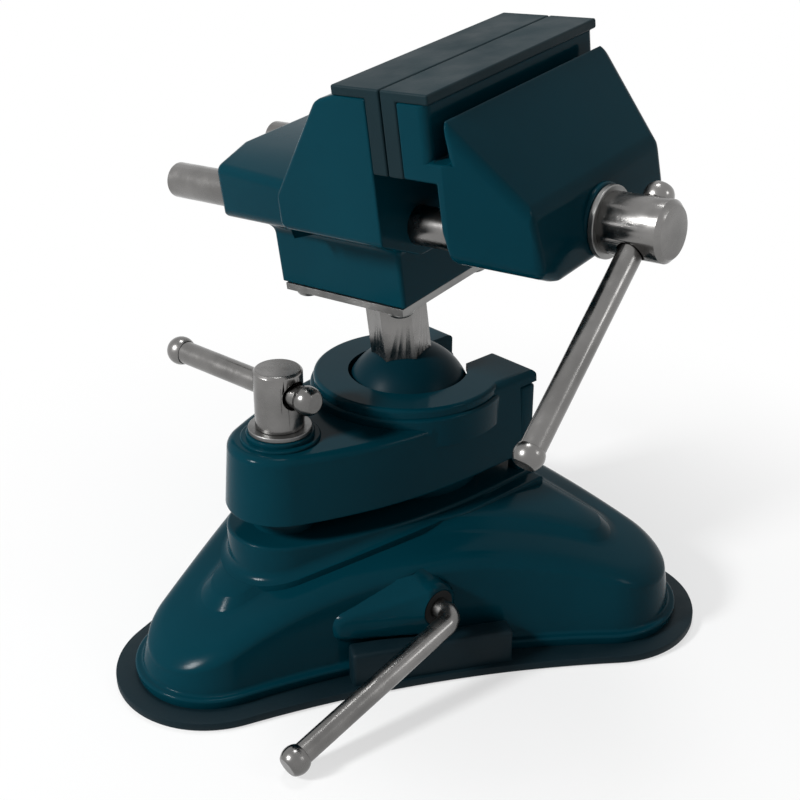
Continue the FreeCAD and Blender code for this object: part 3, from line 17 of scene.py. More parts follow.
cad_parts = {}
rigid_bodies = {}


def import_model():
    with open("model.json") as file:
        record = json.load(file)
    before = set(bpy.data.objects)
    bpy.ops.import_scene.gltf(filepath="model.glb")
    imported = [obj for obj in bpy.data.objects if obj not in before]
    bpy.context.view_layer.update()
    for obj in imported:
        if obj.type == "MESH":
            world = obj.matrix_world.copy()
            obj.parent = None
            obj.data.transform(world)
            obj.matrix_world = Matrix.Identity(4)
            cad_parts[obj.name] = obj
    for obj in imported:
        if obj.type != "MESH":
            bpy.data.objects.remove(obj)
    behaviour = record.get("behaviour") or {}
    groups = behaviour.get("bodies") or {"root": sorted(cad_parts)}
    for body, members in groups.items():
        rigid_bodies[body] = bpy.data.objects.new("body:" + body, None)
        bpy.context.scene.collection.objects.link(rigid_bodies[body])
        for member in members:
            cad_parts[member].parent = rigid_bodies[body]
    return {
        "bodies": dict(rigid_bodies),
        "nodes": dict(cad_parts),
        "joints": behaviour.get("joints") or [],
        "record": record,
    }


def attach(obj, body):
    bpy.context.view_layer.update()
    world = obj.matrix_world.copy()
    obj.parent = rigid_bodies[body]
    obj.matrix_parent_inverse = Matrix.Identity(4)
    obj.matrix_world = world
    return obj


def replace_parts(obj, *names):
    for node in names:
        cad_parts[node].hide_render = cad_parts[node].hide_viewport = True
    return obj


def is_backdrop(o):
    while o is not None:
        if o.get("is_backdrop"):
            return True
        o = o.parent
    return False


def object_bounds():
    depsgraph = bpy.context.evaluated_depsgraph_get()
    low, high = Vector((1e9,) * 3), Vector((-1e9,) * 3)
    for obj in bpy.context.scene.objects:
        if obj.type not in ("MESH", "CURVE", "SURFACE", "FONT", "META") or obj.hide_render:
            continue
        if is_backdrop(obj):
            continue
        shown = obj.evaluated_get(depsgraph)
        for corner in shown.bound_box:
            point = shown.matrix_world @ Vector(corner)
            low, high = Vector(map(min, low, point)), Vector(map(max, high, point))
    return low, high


LOG = logging.getLogger("vise")
MM = 0.001
BALL_HEIGHT = 59.0
BALL_SEAT = 19.3
CLAMP_SCREW_X = -47.0
COPY_WELD_M = 2e-6
COPY_STEPS = 3
COPY_SHARP_DEG = 28.0
CAST_WELD = 0.16
CAST_STEPS = 5
CAST_SHADE_DEG = 38.0

Point = tuple[float, float, float]
Outline = Sequence[tuple[float, float]]
Ring = np.ndarray
Socket = bpy.types.NodeSocket
Piece = bpy.types.Object
Material = bpy.types.Material


class Edge(Enum):
    """How strongly the edges of a copied piece are rounded, in millimetres."""

    MOULDED = 0.55
    TURNED = 0.3
    SHEET = 0.22
    CRISP = 0.0


class NodeSheet:
    """A small helper for wiring one material."""

    def __init__(self, name: str) -> None:
        """Starts an empty material with a Principled shader.

        Args:
            name: name of the material.
        """
        self.material = bpy.data.materials.new(name)
        self.material.use_nodes = True
        self.tree = self.material.node_tree
        self.shader = self.tree.nodes["Principled BSDF"]
        self.object_point = self.add("ShaderNodeTexCoord").outputs["Object"]

    def add(self, kind: str, **values: object) -> bpy.types.Node:
        """Adds a node.

        Args:
            kind: Blender's name of the node type.
            **values: attributes of the node.

        Returns:
            The new node.
        """
        node = self.tree.nodes.new(kind)
        for key, value in values.items():
            setattr(node, key, value)
        return node

    def link(self, source: Socket, target: Socket) -> None:
        """Joins two sockets."""
        self.tree.links.new(source, target)

    def stretched(self, scale: Sequence[float], turn: Sequence[float] = (0, 0, 0)) -> Socket:
        """Object coordinates, turned and stretched.

        Args:
            scale: factor along each axis.
            turn: turn about each axis, in radians.

        Returns:
            The socket with the changed coordinates.
        """
        mapping = self.add("ShaderNodeMapping")
        mapping.inputs["Scale"].default_value = scale
        mapping.inputs["Rotation"].default_value = turn
        self.link(self.object_point, mapping.inputs["Vector"])
        return mapping.outputs["Vector"]

    def noise(self, scale: float, detail: float, point: Socket | None = None) -> Socket:
        """A noise pattern.

        Args:
            scale: its scale, in waves for each metre.
            detail: number of octaves.
            point: the coordinates that it reads, or None for the object's own.

        Returns:
            The socket with its value.
        """
        node = self.add("ShaderNodeTexNoise")
        node.inputs["Scale"].default_value = scale
        node.inputs["Detail"].default_value = detail
        self.link(point or self.object_point, node.inputs["Vector"])
        return node.outputs["Fac"]

    def spread(self, value: Socket, low: float, high: float) -> Socket:
        """Maps the usual span of a noise pattern to a range.

        Args:
            value: the pattern.
            low: result where the pattern is low.
            high: result where the pattern is high.

        Returns:
            The socket with the mapped value.
        """
        node = self.add("ShaderNodeMapRange")
        node.inputs["From Min"].default_value = 0.3
        node.inputs["From Max"].default_value = 0.7
        node.inputs["To Min"].default_value = low
        node.inputs["To Max"].default_value = high
        self.link(value, node.inputs["Value"])
        return node.outputs["Result"]

    def tint(self, value: Socket, dark: Sequence[float], light: Sequence[float]) -> None:
        """Colours the surface between two shades.

        Args:
            value: the pattern that picks the shade.
            dark: shade where the pattern is low.
            light: shade where the pattern is high.
        """
        mix = self.add("ShaderNodeMix", data_type="RGBA")
        mix.inputs["A"].default_value = (*dark, 1.0)
        mix.inputs["B"].default_value = (*light, 1.0)
        self.link(self.spread(value, 0.0, 1.0), mix.inputs["Factor"])
        self.link(mix.outputs["Result"], self.shader.inputs["Base Color"])

    def bump(self, value: Socket, depth: float, below: Socket | None = None) -> Socket:
        """Roughens the surface by a pattern.

        Args:
            value: the pattern.
            depth: its depth in metres.
            below: another bump that this one lies on.

        Returns:
            The socket with the changed normal.
        """
        node = self.add("ShaderNodeBump")
        node.inputs["Strength"].default_value = 1.0
        node.inputs["Distance"].default_value = depth
        self.link(value, node.inputs["Height"])
        if below is not None:
            self.link(below, node.inputs["Normal"])
        self.link(node.outputs["Normal"], self.shader.inputs["Normal"])
        return node.outputs["Normal"]


def seen_rays(tree: bpy.types.NodeTree) -> Socket:
    """One for the rays that show the background, and zero for those that light the object.

    Args:
        tree: nodes of a material or a world.

    Returns:
        The socket with that value.
    """
    path = tree.nodes.new("ShaderNodeLightPath")
    seen = path.outputs["Is Camera Ray"]
    for label in ("Is Glossy Ray", "Is Transmission Ray"):
        both = tree.nodes.new("ShaderNodeMath")
        both.operation = "MAXIMUM"
        tree.links.new(seen, both.inputs[0])
        tree.links.new(path.outputs[label], both.inputs[1])
        seen = both.outputs["Value"]
    return seen


@dataclass(frozen=True)
class Enamel:
    """Glossy paint on a die casting, with a faint orange peel and dusty flecks."""

    name: str
    dark: Sequence[float]
    light: Sequence[float]
    gloss: tuple[float, float] = (0.12, 0.2)
    peel: float = 0.000035

    def make(self) -> Material:
        """Builds the material."""
        sheet = NodeSheet(self.name)
        sheet.tint(sheet.noise(22, 4), self.dark, self.light)
        sheet.link(sheet.spread(sheet.noise(60, 5), *self.gloss), sheet.shader.inputs["Roughness"])
        sheet.shader.inputs["Specular IOR Level"].default_value = 0.035
        slow = sheet.bump(sheet.noise(120, 2), self.peel)
        sheet.bump(sheet.noise(900, 2), self.peel * 0.25, slow)
        return sheet.material


@dataclass(frozen=True)
class Rubber:
    """Matt black rubber with a fine grain and rubbed patches."""

    name: str
    dark: Sequence[float]
    light: Sequence[float]
    grain: float = 1500.0
    depth: float = 0.00006

    def make(self) -> Material:
        """Builds the material."""
        sheet = NodeSheet(self.name)
        sheet.tint(sheet.noise(45, 6), self.dark, self.light)
        sheet.link(sheet.spread(sheet.noise(90, 4), 0.48, 0.66), sheet.shader.inputs["Roughness"])
        sheet.shader.inputs["Specular IOR Level"].default_value = 0.12
        slow = sheet.bump(sheet.noise(160, 3), self.depth)
        sheet.bump(sheet.noise(self.grain, 3), self.depth * 0.5, slow)
        return sheet.material


@dataclass(frozen=True)
class Metal:
    """Bare or plated metal whose fine scratches run along one direction."""

    name: str
    dark: Sequence[float]
    light: Sequence[float]
    stretch: Sequence[float] = (1.0, 1.0, 1.0)
    turn: Sequence[float] = (0.0, 0.0, 0.0)
    rough: tuple[float, float] = (0.16, 0.32)
    scratch: float = 0.000012

    def make(self) -> Material:
        """Builds the material."""
        sheet = NodeSheet(self.name)
        sheet.shader.inputs["Metallic"].default_value = 1.0
        lines = sheet.noise(260, 5, sheet.stretched(self.stretch, self.turn))
        sheet.tint(sheet.noise(70, 5), self.dark, self.light)
        sheet.link(sheet.spread(lines, *self.rough), sheet.shader.inputs["Roughness"])
        slow = sheet.bump(lines, self.scratch)
        sheet.bump(sheet.noise(240, 3), self.scratch * 0.6, slow)
        return sheet.material


STEEL_DARK = (0.13, 0.128, 0.125)
STEEL_LIGHT = (0.22, 0.215, 0.21)
FINISHES = {
    "enamel": Enamel("petrol enamel", (0.0005, 0.026, 0.039), (0.0009, 0.032, 0.047)),
    "ball_enamel": Enamel("ball enamel", (0.001, 0.016, 0.024), (0.002, 0.021, 0.031), (0.3, 0.42), 0.00005),
    "pad_rubber": Rubber("sheet rubber", (0.001, 0.008, 0.012), (0.003, 0.012, 0.017)),
    "jaw_rubber": Rubber("jaw rubber", (0.001, 0.010, 0.014), (0.003, 0.015, 0.020)),
    "bright_steel": Metal("nickel plated steel", STEEL_DARK, STEEL_LIGHT),
    "zinc_steel": Metal("zinc plated steel", (0.15, 0.15, 0.148), (0.24, 0.24, 0.235), rough=(0.26, 0.42)),
    "brass": Metal("machined brass", (0.50, 0.34, 0.12), (0.66, 0.47, 0.19)),
    "dark_plastic": Rubber("black nylon", (0.010, 0.010, 0.010), (0.018, 0.018, 0.018), 600.0, 0.00002),
}


def circle(radius: float, count: int) -> Ring:
    """Points on a circle about the origin.

    Args:
        radius: radius of the circle.
        count: number of points.

    Returns:
        The points as rows of X and Y.
    """
    angle = np.linspace(0, math.tau, count, endpoint=False)
    return np.stack([radius * np.cos(angle), radius * np.sin(angle)], axis=1)


def arc(centre: Sequence[float], radius: float, start: float, end: float, count: int) -> Ring:
    """Points along an arc, without its last one.

    Args:
        centre: centre of the arc.
        radius: its radius.
        start: first angle in radians.
        end: last angle in radians.
        count: number of points.

    Returns:
        The points as rows of X and Y.
    """
    angle = np.linspace(start, end, count, endpoint=False)
    return np.stack([centre[0] + radius * np.cos(angle), centre[1] + radius * np.sin(angle)], axis=1)


def quarter(count: int) -> list[tuple[float, float]]:
    """Steps round a quarter circle of radius one, from the wall up to the flat top.

    Args:
        count: number of steps.

    Returns:
        For each step, how far it lies in from the wall and down from the top.
    """
    return [(1 - math.cos(turn), 1 - math.sin(turn)) for turn in np.linspace(0, math.pi / 2, count)]


def at_height(outline: Ring, height: float | np.ndarray) -> Ring:
    """Lifts a flat outline.

    Args:
        outline: rows of X and Y.
        height: one height, or one for each point.

    Returns:
        Rows of X, Y and Z.
    """
    return np.column_stack([outline, np.broadcast_to(height, len(outline))])


class Shell:
    """Collects the closed forms that make up one piece, in millimetres."""

    def __init__(self) -> None:
        """Starts with nothing."""
        self.mesh = bmesh.new()

    def loft(self, rings: Sequence[Ring], caps: bool = True) -> None:
        """Joins rings of points, one after another.

        Args:
            rings: rows of X, Y and Z, as many in each ring.
            caps: whether a face closes the first and the last ring; otherwise these two are joined.
        """
        rows = [[self.mesh.verts.new(point) for point in ring] for ring in rings]
        pairs = list(zip(rows, rows[1:])) if caps else list(zip(rows, rows[1:] + rows[:1]))
        for low, high in pairs:
            for index in range(len(low)):
                after = (index + 1) % len(low)
                self.mesh.faces.new((low[index], low[after], high[after], high[index]))
        if caps:
            self.mesh.faces.new(rows[0][::-1])
            self.mesh.faces.new(rows[-1])

    def turned(self, profile: Outline, place: Matrix, count: int = 96, caps: bool = True) -> None:
        """Turns a profile about its Z axis.

        Args:
            profile: radius and height of each ring.
            place: where the turned form goes.
            count: number of points round it.
            caps: whether the ends are closed by faces; otherwise the profile is a closed loop.
        """
        rings = [at_height(circle(radius, count), height) for radius, height in profile]
        self.loft([np.array([place @ Vector(point) for point in ring]) for ring in rings], caps)

    def cushion_box(self, low: Point, high: Point, edge: float, place: Matrix = Matrix.Identity(4)) -> None:
        """Adds a box with rounded edges.

        Args:
            low: its lowest corner.
            high: its highest corner.
            edge: radius of the edges.
            place: where the box goes.
        """
        made = bmesh.ops.create_cube(self.mesh, size=1.0)["verts"]
        size = [h - l for l, h in zip(low, high)]
        middle = [(h + l) / 2 for l, h in zip(low, high)]
        for vert in made:
            vert.co = Vector(v * s + m for v, s, m in zip(vert.co, size, middle))
        edges = list({e for vert in made for e in vert.link_edges})
        result = bmesh.ops.bevel(self.mesh, geom=edges, offset=edge, segments=3, profile=0.5, affect="EDGES")
        moved = {v for face in result["faces"] for v in face.verts}
        for vert in moved:
            vert.co = place @ vert.co

    def finish(self, name: str, smooth_deg: float = 32.0) -> Piece:
        """Turns the collected forms into an object.

        Args:
            name: name of the object.
            smooth_deg: edges sharper than this many degrees stay sharp.

        Returns:
            The object, at the origin and in metres.
        """
        bmesh.ops.recalc_face_normals(self.mesh, faces=self.mesh.faces)
        bmesh.ops.scale(self.mesh, vec=(MM, MM, MM), verts=self.mesh.verts)
        return as_object(name, self.mesh, smooth_deg)


def as_object(name: str, mesh: bmesh.types.BMesh, smooth_deg: float) -> Piece:
    """Makes an object from a bmesh, shaded smooth except at sharp edges.

    Args:
        name: name of the object.
        mesh: the shape, in metres. It is freed.
        smooth_deg: edges sharper than this many degrees stay sharp.

    Returns:
        The object, linked to the scene.
    """
    data = bpy.data.meshes.new(name)
    mesh.to_mesh(data)
    mesh.free()
    data.shade_smooth()
    data.set_sharp_from_angle(angle=math.radians(smooth_deg))
    made = bpy.data.objects.new(name, data)
    bpy.context.scene.collection.objects.link(made)
    return made


def axis_place(at: Vector, along: Vector) -> Matrix:
    """A place whose Z axis points in a direction.

    Args:
        at: its origin.
        along: direction of its Z axis.

    Returns:
        The matrix.
    """
    return Matrix.Translation(at) @ along.to_track_quat("Z", "Y").to_matrix().to_4x4()


class Workshop:
    """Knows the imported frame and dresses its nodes."""

    def __init__(self) -> None:
        """Loads the frame and makes every finish once."""
        self.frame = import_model()
        record = self.frame["record"]
        self.slots = {part["node"]: part["material_slot"] for part in record["subparts"]}
        self.bodies = {node: body for body, nodes in record["behaviour"]["bodies"].items() for node in nodes}
        self.materials = {slot: finish.make() for slot, finish in FINISHES.items()}
        self.cad_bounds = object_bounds()

    def dress(self, piece: Piece, node: str) -> Piece:
        """Lets a piece stand for a node, with its body, slot and finish.

        Args:
            piece: the piece.
            node: the CAD node that it replaces.

        Returns:
            The piece.
        """
        piece.data.materials.clear()
        piece.data.materials.append(self.materials[self.slots[node]])
        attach(piece, self.bodies[node])
        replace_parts(piece, node)
        LOG.info("%s stands for %s", piece.name, node)
        return piece

    def keep(self, *nodes: str) -> None:
        """Keeps CAD nodes as they are and gives them their finish.

        Args:
            *nodes: the nodes.
        """
        for node in nodes:
            kept = self.frame["nodes"][node]
            kept.data.materials.clear()
            kept.data.materials.append(self.materials[self.slots[node]])

    def rounded(self, node: str, name: str, edge: Edge) -> Piece:
        """Copies a node with its edges rounded.

        Args:
            node: the CAD node.
            name: name of the new piece.
            edge: how strongly its edges are rounded.

        Returns:
            The new piece, not dressed yet.
        """
        mesh = bmesh.new()
        mesh.from_mesh(self.frame["nodes"][node].data)
        bmesh.ops.remove_doubles(mesh, verts=mesh.verts, dist=COPY_WELD_M)
        bmesh.ops.dissolve_limit(mesh, angle_limit=math.radians(0.4), verts=mesh.verts, edges=mesh.edges)
        made = as_object(name, mesh, 30.0)
        if edge is not Edge.CRISP:
            bevel = made.modifiers.new("rounded edges", "BEVEL")
            bevel.width = edge.value * MM
            bevel.segments = COPY_STEPS
            bevel.limit_method = "ANGLE"
            bevel.angle_limit = math.radians(COPY_SHARP_DEG)
            bevel.use_clamp_overlap = True
            bevel.harden_normals = True
            apply_modifiers(made)
        return made

    def copy(self, *rows: tuple[str, str, Edge]) -> None:
        """Lets rounded copies stand for nodes.

        Args:
            *rows: for each copy, its node, its own name and its edges.
        """
        for node, name, edge in rows:
            self.dress(self.rounded(node, name, edge), node)


def apply_modifiers(made: Piece) -> None:
    """Replaces an object's mesh by the result of its modifiers.

    Args:
        made: the object.
    """
    ready = made.evaluated_get(bpy.context.evaluated_depsgraph_get())
    data = bpy.data.meshes.new_from_object(ready)
    made.modifiers.clear()
    made.data = data
    data.name = made.name


@dataclass
class LobedOutline:
    """Three round lobes joined by hollow sides."""

    apex_reach: float = 73.0
    rear_reach: float = 28.6
    rear_half_span: float = 54.0
    lobe_points: int = 44
    side_points: int = 40

    def centres(self, pull: float) -> list[np.ndarray]:
        """Centres of the lobes.

        Args:
            pull: how far they are pulled towards the middle.

        Returns:
            The front lobe's centre, then the near and the far rear one's.
        """
        rear, half = self.rear_reach, self.rear_half_span
        full = ((-self.apex_reach, 0.0), (rear, -half), (rear, half))
        return [np.array(centre) * (1 - pull / math.hypot(*centre)) for centre in full]

    def points(self, lobe: float, waist: float, pull: float = 0.0) -> Ring:
        """Points of one outline, as many for every call.

        Args:
            lobe: radius of the lobes.
            waist: distance of a side's middle from the line between two lobes.
            pull: how far the lobes are pulled towards the middle.

        Returns:
            Rows of X and Y, counter-clockwise.
        """
        centres = self.centres(pull)
        hollows = []
        for index, first in enumerate(centres):
            second = centres[(index + 1) % 3]
            across = second - first
            half = np.linalg.norm(across) / 2
            radius = (half * half + waist * waist - lobe * lobe) / (2 * (lobe - waist))
            out = np.array([across[1], -across[0]]) / (2 * half)
            hollows.append(((first + second) / 2 + out * (radius + waist), radius))
        runs = []
        for index, here in enumerate(centres):
            before, after = hollows[index - 1][0] - here, hollows[index][0] - here
            start = math.atan2(before[1], before[0])
            end = math.atan2(after[1], after[0])
            runs.append(arc(here, lobe, start, end if end > start else end + math.tau, self.lobe_points))
            centre, radius = hollows[index]
            first, second = here - centre, centres[(index + 1) % 3] - centre
            start = math.atan2(first[1], first[0])
            end = math.atan2(second[1], second[0])
            runs.append(arc(centre, radius, start, end if end < start else end - math.tau, self.side_points))
        return np.concatenate(runs)


@dataclass
class KeelOutline:
    """The long shape of tower and cap: a round nose, bowed sides and a flat rear end."""

    nose_at: float = -CLAMP_SCREW_X
    nose: float = 16.0
    half_width: float = 27.5
    side_start: float = 5.0
    rear: float = 26.0

    def points(self, grow: float = 0.0) -> Ring:
        """Points of the outline, offset outwards.

        Args:
            grow: the offset.

        Returns:
            Rows of X and Y, counter-clockwise.
        """
        nose, wide = self.nose + grow, self.half_width + grow
        reach = self.nose_at + self.side_start
        bow = (reach * reach + wide * wide - nose * nose) / (2 * (wide - nose))
        slant = math.atan2(bow - wide, reach)
        runs = [
            arc((-self.nose_at, 0), nose, math.pi - slant, math.pi + slant, 40),
            arc((self.side_start, bow - wide), bow, math.pi + slant, 1.5 * math.pi, 24),
            np.array([(self.side_start, -wide), (self.rear + grow, -wide), (self.rear + grow, wide)]),
            arc((self.side_start, wide - bow), bow, 0.5 * math.pi, math.pi - slant, 24),
        ]
        return np.concatenate(runs)


@dataclass
class SuctionBase:
    """The three-lobed casting with its tower, cup, hinge posts and the bulge over the lever's shaft."""

    shop: Workshop
    pad: float = 2.5
    lobe: float = 20.0
    waist: float = 13.5
    flange: float = 2.0
    flange_top: float = 5.5
    draft: float = math.tan(math.radians(5))
    dome_radius: float = 174.0
    dome_top: float = 37.3
    shoulder: float = 5.0
    step: float = 1.8
    step_run: float = 1.6
    rim_round: float = 0.8
    heel: float = 0.9
    wall_start: float = 3.0
    wall_run: float = 18.0
    tower_top: float = 38.0
    foot_round: float = 2.4
    edge: float = 1.0
    form: Shell = field(default_factory=Shell)

    def dome(self, outline: Ring) -> np.ndarray:
        """Height of the domed top over an outline.

        Args:
            outline: rows of X and Y.

        Returns:
            One height for each point.
        """
        square = (outline**2).sum(axis=1)
        return self.dome_top - self.dome_radius + np.sqrt(self.dome_radius**2 - square)

    def shell(self) -> None:
        """Adds the domed shell with its raised panel."""
        shape = LobedOutline()

        def skirt(offset: float) -> Ring:
            return shape.points(self.lobe + offset, self.waist + offset)

        rings = [at_height(skirt(self.flange - self.rim_round / 2), self.pad)]
        for inward, down in quarter(5):
            offset = self.flange - self.rim_round * inward
            rings.append(at_height(skirt(offset), self.flange_top - self.rim_round * down))
        for rise, outward in quarter(5):
            offset = self.heel * outward - self.draft * self.wall_start
            rings.append(at_height(skirt(offset), self.flange_top + self.heel * rise))
        foot = self.flange_top + self.heel
        crest = self.dome(skirt(-self.shoulder)) - foot
        for share in np.linspace(0.12, 1.0, 8):
            offset = -self.draft * (self.wall_start + share * self.wall_run)
            rings.append(at_height(skirt(offset), foot + share * (crest - self.shoulder * 0.8)))
        wall_top = rings[-1][:, 2]
        wall_in = self.draft * (self.wall_start + self.wall_run)
        for inward, down in quarter(9)[1:]:
            outline = skirt(-wall_in - self.shoulder * inward)
            rings.append(at_height(outline, wall_top * down + self.dome(outline) * (1 - down)))
        panel = shape.points(lobe=8.0, waist=2.0, pull=8.0)
        rings.extend(self.panel_rings(skirt(-wall_in - self.shoulder), panel))
        self.form.loft(rings)

    def panel_rings(self, outer: Ring, panel: Ring) -> list[Ring]:
        """Rings from the shoulder over the step of the raised panel to the middle.

        Args:
            outer: outline at the inner edge of the shoulder.
            panel: outline of the raised panel.

        Returns:
            The rings.
        """
        rings = []
        gap = np.linalg.norm(outer - panel, axis=1, keepdims=True)
        inward = (panel - outer) / np.maximum(gap, 1e-6) * self.step_run
        for share in (0.25, 0.5, 0.75):
            outline = outer + (panel - inward - outer) * share
            rings.append(at_height(outline, self.dome(outline)))
        for turn in np.linspace(0, math.pi, 9):
            outline = panel + inward * -math.cos(turn)
            rings.append(at_height(outline, self.dome(outline) + self.step * (1 - math.cos(turn)) / 2))
        start = panel + inward
        for share in (0.15, 0.3, 0.45, 0.6):
            outline = start * (1 - share)
            rings.append(at_height(outline, self.dome(outline) + self.step))
        return rings

    def tower(self) -> None:
        """Adds the tower with a fillet at its foot."""
        keel = KeelOutline()
        rings = [at_height(keel.points(self.foot_round), 12.0)]
        for rise, outward in quarter(7):
            outline = keel.points(self.foot_round * outward)
            height = self.dome(outline) + self.step + self.foot_round * rise
            rings.append(at_height(outline, np.minimum(height, self.tower_top - 1.0)))
        for inward, down in quarter(6):
            rings.append(at_height(keel.points(-self.edge * inward), self.tower_top - self.edge * down))
        self.form.loft(rings)

    def ledge(self) -> None:
        """Adds the low ledge beside the tower."""
        half, top, rear, edge = 31.5, 36.9, 25.9, 0.9

        def outline(grow: float) -> Ring:
            reach = half + grow
            corners = np.array([(rear + grow, -reach), (rear + grow, reach)])
            return np.concatenate([corners, arc((0, 0), reach, math.pi / 2, 1.5 * math.pi, 60)])

        rings = [at_height(outline(0), 14.0)]
        for inward, down in quarter(5):
            rings.append(at_height(outline(-edge * inward), top - edge * down))
        self.form.loft(rings)

    def cup(self) -> None:
        """Adds the lower ball cup and the boss under the clamp screw."""
        radius, rim, floor = 21.5, 49.5, 33.0
        profile = [(0.3, floor), (radius, floor), (radius, rim - 0.5)]
        profile += [(radius - 0.15, rim - 0.15), (radius - 0.5, rim)]
        for turn in np.linspace(math.acos((BALL_HEIGHT - rim) / BALL_SEAT), 0.02, 24):
            profile.append((BALL_SEAT * math.sin(turn), BALL_HEIGHT - BALL_SEAT * math.cos(turn)))
        self.form.turned(profile, Matrix.Identity(4))
        bore, boss, low, top = 4.6, 9.0, 30, 43.5
        ring = [(bore, low), (boss, low), (boss, 42.9), (8.8, 43.3), (8.4, top), (bore, top)]
        self.form.turned(ring, Matrix.Translation((CLAMP_SCREW_X, 0, 0)), caps=False)

    def posts(self) -> None:
        """Adds the two hinge posts."""
        inner, outer, edge = 21.0, 25.6, 0.9
        for low, high in ((-outer, -inner), (inner, outer)):
            self.form.cushion_box((21.3, low, 30.0), (27.2, high, 65.0), edge)

    def hump(self) -> None:
        """Adds the bulge of the wall over the lever's shaft, open for the bush."""
        shaft_x, shaft_z, floor = -28.0, 21.0, 12.9
        wall_lean, wall_from = 0.708, -3.0
        share = np.linspace(0, 1, 40)
        middle_x, middle_z, radii = -20.4 * share, -3.7 * share, 7.0 - 3.0 * share

        def under_top(x: float, z: float, grow: float) -> bool:
            """Whether a point lies under the falling top line."""
            high = (radii + grow) ** 2 - (x - middle_x) ** 2
            return bool(np.any((high > 0) & (z <= middle_z + np.sqrt(np.maximum(high, 0)))))

        def rim(grow: float, depth: float) -> Ring:
            points = []
            for turn in np.linspace(0, math.tau, 96, endpoint=False):
                way = np.array([math.cos(turn), math.sin(turn)])
                steps = np.linspace(3.0, 30.0, 181)
                low = floor - shaft_z - grow
                inside = [s for s in steps if under_top(*(way * s), grow) and way[1] * s >= low]
                x, z = way * (inside[-1] if inside else steps[0])
                fade = max(0.0, wall_from - x) * wall_lean
                points.append((shaft_x + x, fade - depth, shaft_z + z))
            return np.array(points)

        def bore(size: float, depth: float) -> Ring:
            ring = circle(size, 96)
            return np.column_stack([ring[:, 0] + shaft_x, np.full(96, -depth), ring[:, 1] + shaft_z])

        outside = [(2.2, 36.0), (0.9, 38.0), (0.25, 39.4), (0.0, 40.8)]
        outside += [(-0.25, 42.0), (-0.8, 42.8), (-1.5, 43.0)]
        inside = [(5.4, 43.0), (5.1, 42.9), (5.02, 42.7), (5.02, 30.0)]
        self.form.loft([rim(*step) for step in outside] + [bore(*step) for step in inside])

    def build(self) -> None:
        """Makes the casting."""
        for add in (self.shell, self.tower, self.ledge, self.cup, self.posts, self.hump):
            add()
        self.shop.dress(self.form.finish("base_casting_enamelled", 40.0), "base_casting")


@dataclass
class SuctionPad:
    """The rubber sheet under the base, with its hollow and its pull tab."""

    shop: Workshop
    lobe: float = 27.5
    waist: float = 22.5
    centre_x: float = -28.0

    def build(self) -> None:
        """Makes the sheet and its tab."""
        form = Shell()
        shape = LobedOutline()
        outline = shape.points(self.lobe, self.waist)
        middle = np.array([self.centre_x, 0.0])
        angles = np.arctan2(outline[:, 1], outline[:, 0] - self.centre_x)
        unit = np.stack([np.cos(angles), np.sin(angles)], axis=1)

        def around(radius: float, height: float) -> Ring:
            return at_height(middle + unit * radius, height)

        def edge(offset: float, height: float) -> Ring:
            return at_height(shape.points(self.lobe + offset, self.waist + offset), height)

        hollow = ((1.0, 3.5), (24.4, 3.5), (27.5, 0.0))
        lip = ((-0.5, 0.0), (-0.12, 0.14), (0.0, 0.5), (0.0, 2.0), (-0.12, 2.36), (-0.5, 2.5), (-6.0, 2.5))
        bulge = ((30.0, 2.5), (26.9, 6.0), (1.0, 6.0))
        rings = [around(*step) for step in hollow]
        rings += [edge(*step) for step in lip]
        form.loft(rings + [around(*step) for step in bulge])
        along = Vector((101.6, -54.0, 0)).normalized()
        out = Vector((-54.0, -101.6, 0)).normalized()
        turn = Matrix((along, out, Vector((0, 0, 1)))).transposed().to_4x4()
        place = Matrix.Translation((-22.2, -27.0, 0)) @ turn
        form.cushion_box((-22.75, 15.0, 0.6), (22.75, 21.5, 12.5), 1.1, place)
        self.shop.dress(form.finish("suction_sheet", 35.0), "suction_pad")


